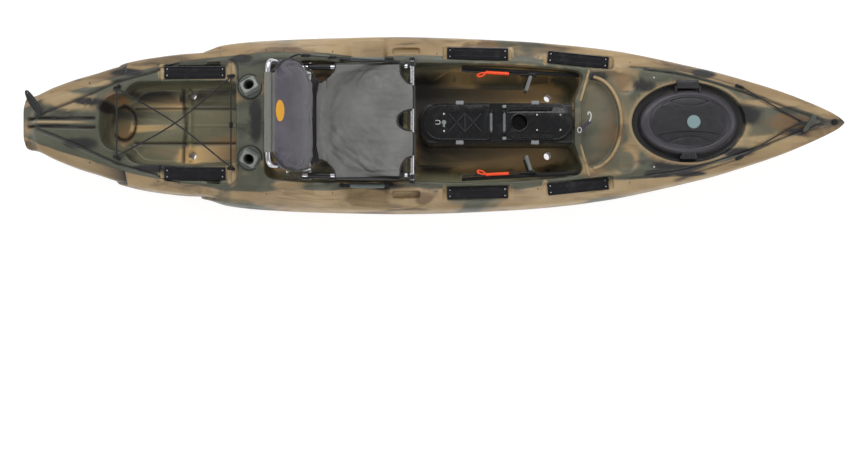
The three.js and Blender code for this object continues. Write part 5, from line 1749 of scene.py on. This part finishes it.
def back_pocket():
    """A netting pocket that hangs behind the back's tube."""
    rows, columns = 26, 40
    rear_x = through([(.47, -.655), (.5, -.672), (.56, -.690), (.62, -.700), (.66, -.697),
                      (.69, -.690)])
    front = []
    for i in range(rows + 1):
        z = mix(.472, .684, i / rows)
        row = []
        for j in range(columns + 1):
            y = mix(-.2, .2, j / columns)
            side = 1 - abs(y / .2) ** 4
            tuck = .004 * math.sin(y * 70 + z * 25) * (z - .47) / .2
            row.append(Vector((float(rear_x(z)) * side + (1 - side) * -.642 + tuck, y, z)))
        front.append(row)
    thick = Vector((.0012, 0, 0))
    vertices = [v for row in front for v in row] + [v + thick for row in front for v in row]
    offset, width = (rows + 1) * (columns + 1), columns + 1
    faces = []
    for i in range(rows):
        for j in range(columns):
            a = i * width + j
            faces.append((a, a + 1, a + width + 1, a + width))
            faces.append((offset + a, offset + a + width, offset + a + width + 1,
                          offset + a + 1))
    border = ([(0, j) for j in range(columns)] + [(i, columns) for i in range(rows)]
              + [(rows, j) for j in range(columns, 0, -1)] + [(i, 0) for i in range(rows, 0, -1)])
    for k, (i, j) in enumerate(border):
        p, q = border[(k + 1) % len(border)]
        faces.append((i * width + j, offset + i * width + j, offset + p * width + q,
                      p * width + q))
    pocket = faced_out(new_object("pocket", vertices, faces))
    piece("seat_back_pocket", pocket, "net", "seat_back", angle=80)
    hem = [v + Vector((.0005, 0, 0)) for v in front[-1]]
    piece("seat_back_pocket_hem", strap("hem", hem, .016, .003, (0, 0, 1)), "binding",
          "seat_back")


SLING_HALF = .258  # half-width of the sling between its corner windows


def sling_outline():
    """Half of the sling's outline on the port side, from the rear's middle to the front's."""
    rear_arc = [(-.545 + .095 * math.sin(a), .262 - .087 * math.cos(a))
                for a in np.linspace(0, math.pi / 2, 10)]
    corner = [(-.094 - .057 * math.sin(a), .166 + .08 * (1 - math.cos(a)))
              for a in np.linspace(math.pi / 2, 0, 8)]
    notch = [(-.094 - .068 * math.cos(a), .05 * math.sin(a))
             for a in np.linspace(math.pi / 2, 0, 8)]
    return ([(-.54, 0), (-.54, .12)] + rear_arc[1:] + [(-.151, SLING_HALF)]
            + corner + [(-.091, .14), (-.091, .06)] + notch)


def sling_skin():
    half = sling_outline()
    outline = half + [(x, -y) for x, y in reversed(half[1:-1])]
    flat = prism("sling", outline, 0, .01)
    soft = soft_skin(flat, .004, 3)
    co = coordinates(soft)
    x, y = co[:, 0], co[:, 1]
    rail = rail_height(x) + TUBE_R + .0015
    sag = .012 * np.clip(1 - (y / .25) ** 2, 0, 1) * np.sin(np.clip((x + .54) / .45, 0, 1)
                                                           * math.pi)
    co[:, 2] += rail - sag
    set_coordinates(soft, co)
    return soft


SLING_FOLDS = [((-.53, .04, .40), (-.40, .02, .40), .02, .006),
               ((-.53, -.06, .40), (-.42, -.02, .40), .014, -.005),
               ((-.52, -.15, .40), (-.44, -.05, .40), .015, .005),
               ((-.20, .23, .42), (-.11, .17, .43), .010, .006),
               ((-.24, .21, .42), (-.15, .12, .43), .009, -.004),
               ((-.20, -.23, .42), (-.12, -.16, .43), .010, .004),
               ((-.26, .03, .41), (-.18, .06, .42), .010, .004),
               ((-.26, -.04, .41), (-.17, -.07, .42), .010, .004),
               ((-.23, .0, .41), (-.17, .035, .42), .008, -.003),
               ((-.34, .25, .40), (-.24, .17, .42), .012, .005),
               ((-.38, -.12, .40), (-.25, -.19, .41), .016, .004)]


def seat_sling():
    sling = sling_skin()
    co = coordinates(sling)
    edge = (np.abs(co[:, 1]) > .235) | (co[:, 0] < -.52) | (co[:, 0] > -.115)
    inflated(sling, 2.5, .008, edge)
    folded = wrinkles(coordinates(sling), vertex_normals(sling), SLING_FOLDS)
    set_coordinates(sling, folded)
    piece("seat_base_cushion", sling, "sling", "hull", ["seat_sling"], 60)


def sling_trims():
    """Piping along the open corners and notch, hems over the tubes and the hanging side flaps."""
    trims = []
    for _, side in SIDES:
        half = [Vector((x, y, float(rail_height(x)) + TUBE_R + .0065))
                for x, y in sling_outline()]
        rear = [p for p in half if p.x < -.449 and p.y > .1]
        trims.append(tube("piping", smooth_path(mirrored(rear, side), 4), .0045, 12))
        corner = [p for p in half if p.x > -.152 and p.y > .165]
        trims.append(tube("piping", smooth_path(mirrored(corner, side), 4), .004, 12))
        for y0, y1 in ((.054, .162), (.25, .272)):
            hem = [(SEAT_FRONT_X, side * y, SEAT_FRONT_Z) for y in np.linspace(y0, y1, 6)]
            trims.append(tube("hem", hem, .0138, 24))
        edge = [(x, side * (SEAT_Y + .004), float(rail_height(x)) + .003)
                for x in np.linspace(-.452, -.128, 24)]
        trims.append(tube("hem", edge, .0146, 20))
    notch = [Vector((x, y, float(rail_height(x)) + TUBE_R + .0065))
             for x, y in sling_outline() if y < .051 and x > -.2]
    both = [Vector((p.x, -p.y, p.z)) for p in notch][:-1] + notch[::-1]
    trims.append(tube("piping", both, .004, 12))
    trims.append(prism("rear_band", rectangle(-.566, -.53, -.2, .2, .006), .394, .3985, .0015))
    piece("seat_base_trim", joined("trims", trims), "binding", "hull")
    flaps = []
    for _, side in SIDES:
        rings = []
        for x in np.linspace(-.46, -.118, 60):
            top = float(rail_height(x)) + .004
            low = .362 + .004 * math.sin(x * 95) + .008 * step(-.2, -.12, x)
            bulge = .003 * math.sin(x * 60)
            outer = [Vector((x, side * (.2675 + bulge * t), mix(top, low, t)))
                     for t in np.linspace(0, 1, 6)]
            inner = [v - Vector((0, side * .0022, 0)) for v in reversed(outer)]
            rings.append(outer + inner)
        flaps.append(faced_out(new_object("flap", *loft(rings))))
    piece("seat_side_flaps", joined("flaps", flaps), "binding", "hull", angle=60)


def seat_strap(side, label):
    """A side strap with its buckle and adjuster, and the tail that runs back below it."""
    y = .274
    main = smooth_path([(-.638, y - .02, .622), (-.60, y, .602), (-.566, y, .583),
                        (-.448, y, .528), (-.33, y, .482), (-.22, y, .438), (-.15, y, .428)], 10)
    tail = smooth_path([(-.448, y, .522), (-.4, y + .001, .492), (-.33, y + .002, .462),
                        (-.26, y + .001, .440), (-.2, y, .43)], 8)
    webs = [strap("strap", main, .025, .0026, (0, 0, 1)),
            strap("tail", tail, .022, .0022, (0, 0, 1))]
    hardware = []
    for x, z, long in ((-.566, .583, .036), (-.452, .53, .03)):
        slope = math.atan2(-.055, .118)
        box = prism("buckle", rectangle(-long / 2, long / 2, -.016, .016, .004), -.006, .006,
                    .0022)
        place = (Matrix.Translation((x, y, z)) @ Matrix.Rotation(-slope, 4, "Y")
                 @ Matrix.Rotation(math.radians(90), 4, "X"))
        hardware.append(moved(box, place))
    rivet = turned("rivet", [(0, -.004), (.009, -.004), (.009, .002), (.006, .004), (0, .0045)],
                   24, (-.64, y - .026, .622), (0, 1, 0))
    placed_on_side(side, *webs, *hardware, rivet)
    blend = ("seat_back", "hull", (-.6, 0, .6), (-.25, 0, .45))
    piece(f"seat_strap_web_{label}", joined("strap", webs), "webbing", "hull",
          [f"seat_strap_{label}"], blend=blend)
    piece(f"seat_strap_buckles_{label}", joined("buckles", hardware), "plastic", "hull",
          blend=blend)
    piece(f"seat_strap_rivet_{label}", rivet, "steel", "seat_back")


def add_seat():
    seat_frame()
    seat_collars()
    pad = seat_pad()
    seat_details(pad)
    back_pocket()
    seat_sling()
    sling_trims()
    for label, side in SIDES:
        seat_strap(side, label)


# ---------------------------------------------------------------- the whole scene

add_camera()
add_studio()
add_hull()
add_deck_fittings()
add_hatch()
add_console()
add_foot_braces()
add_seat()
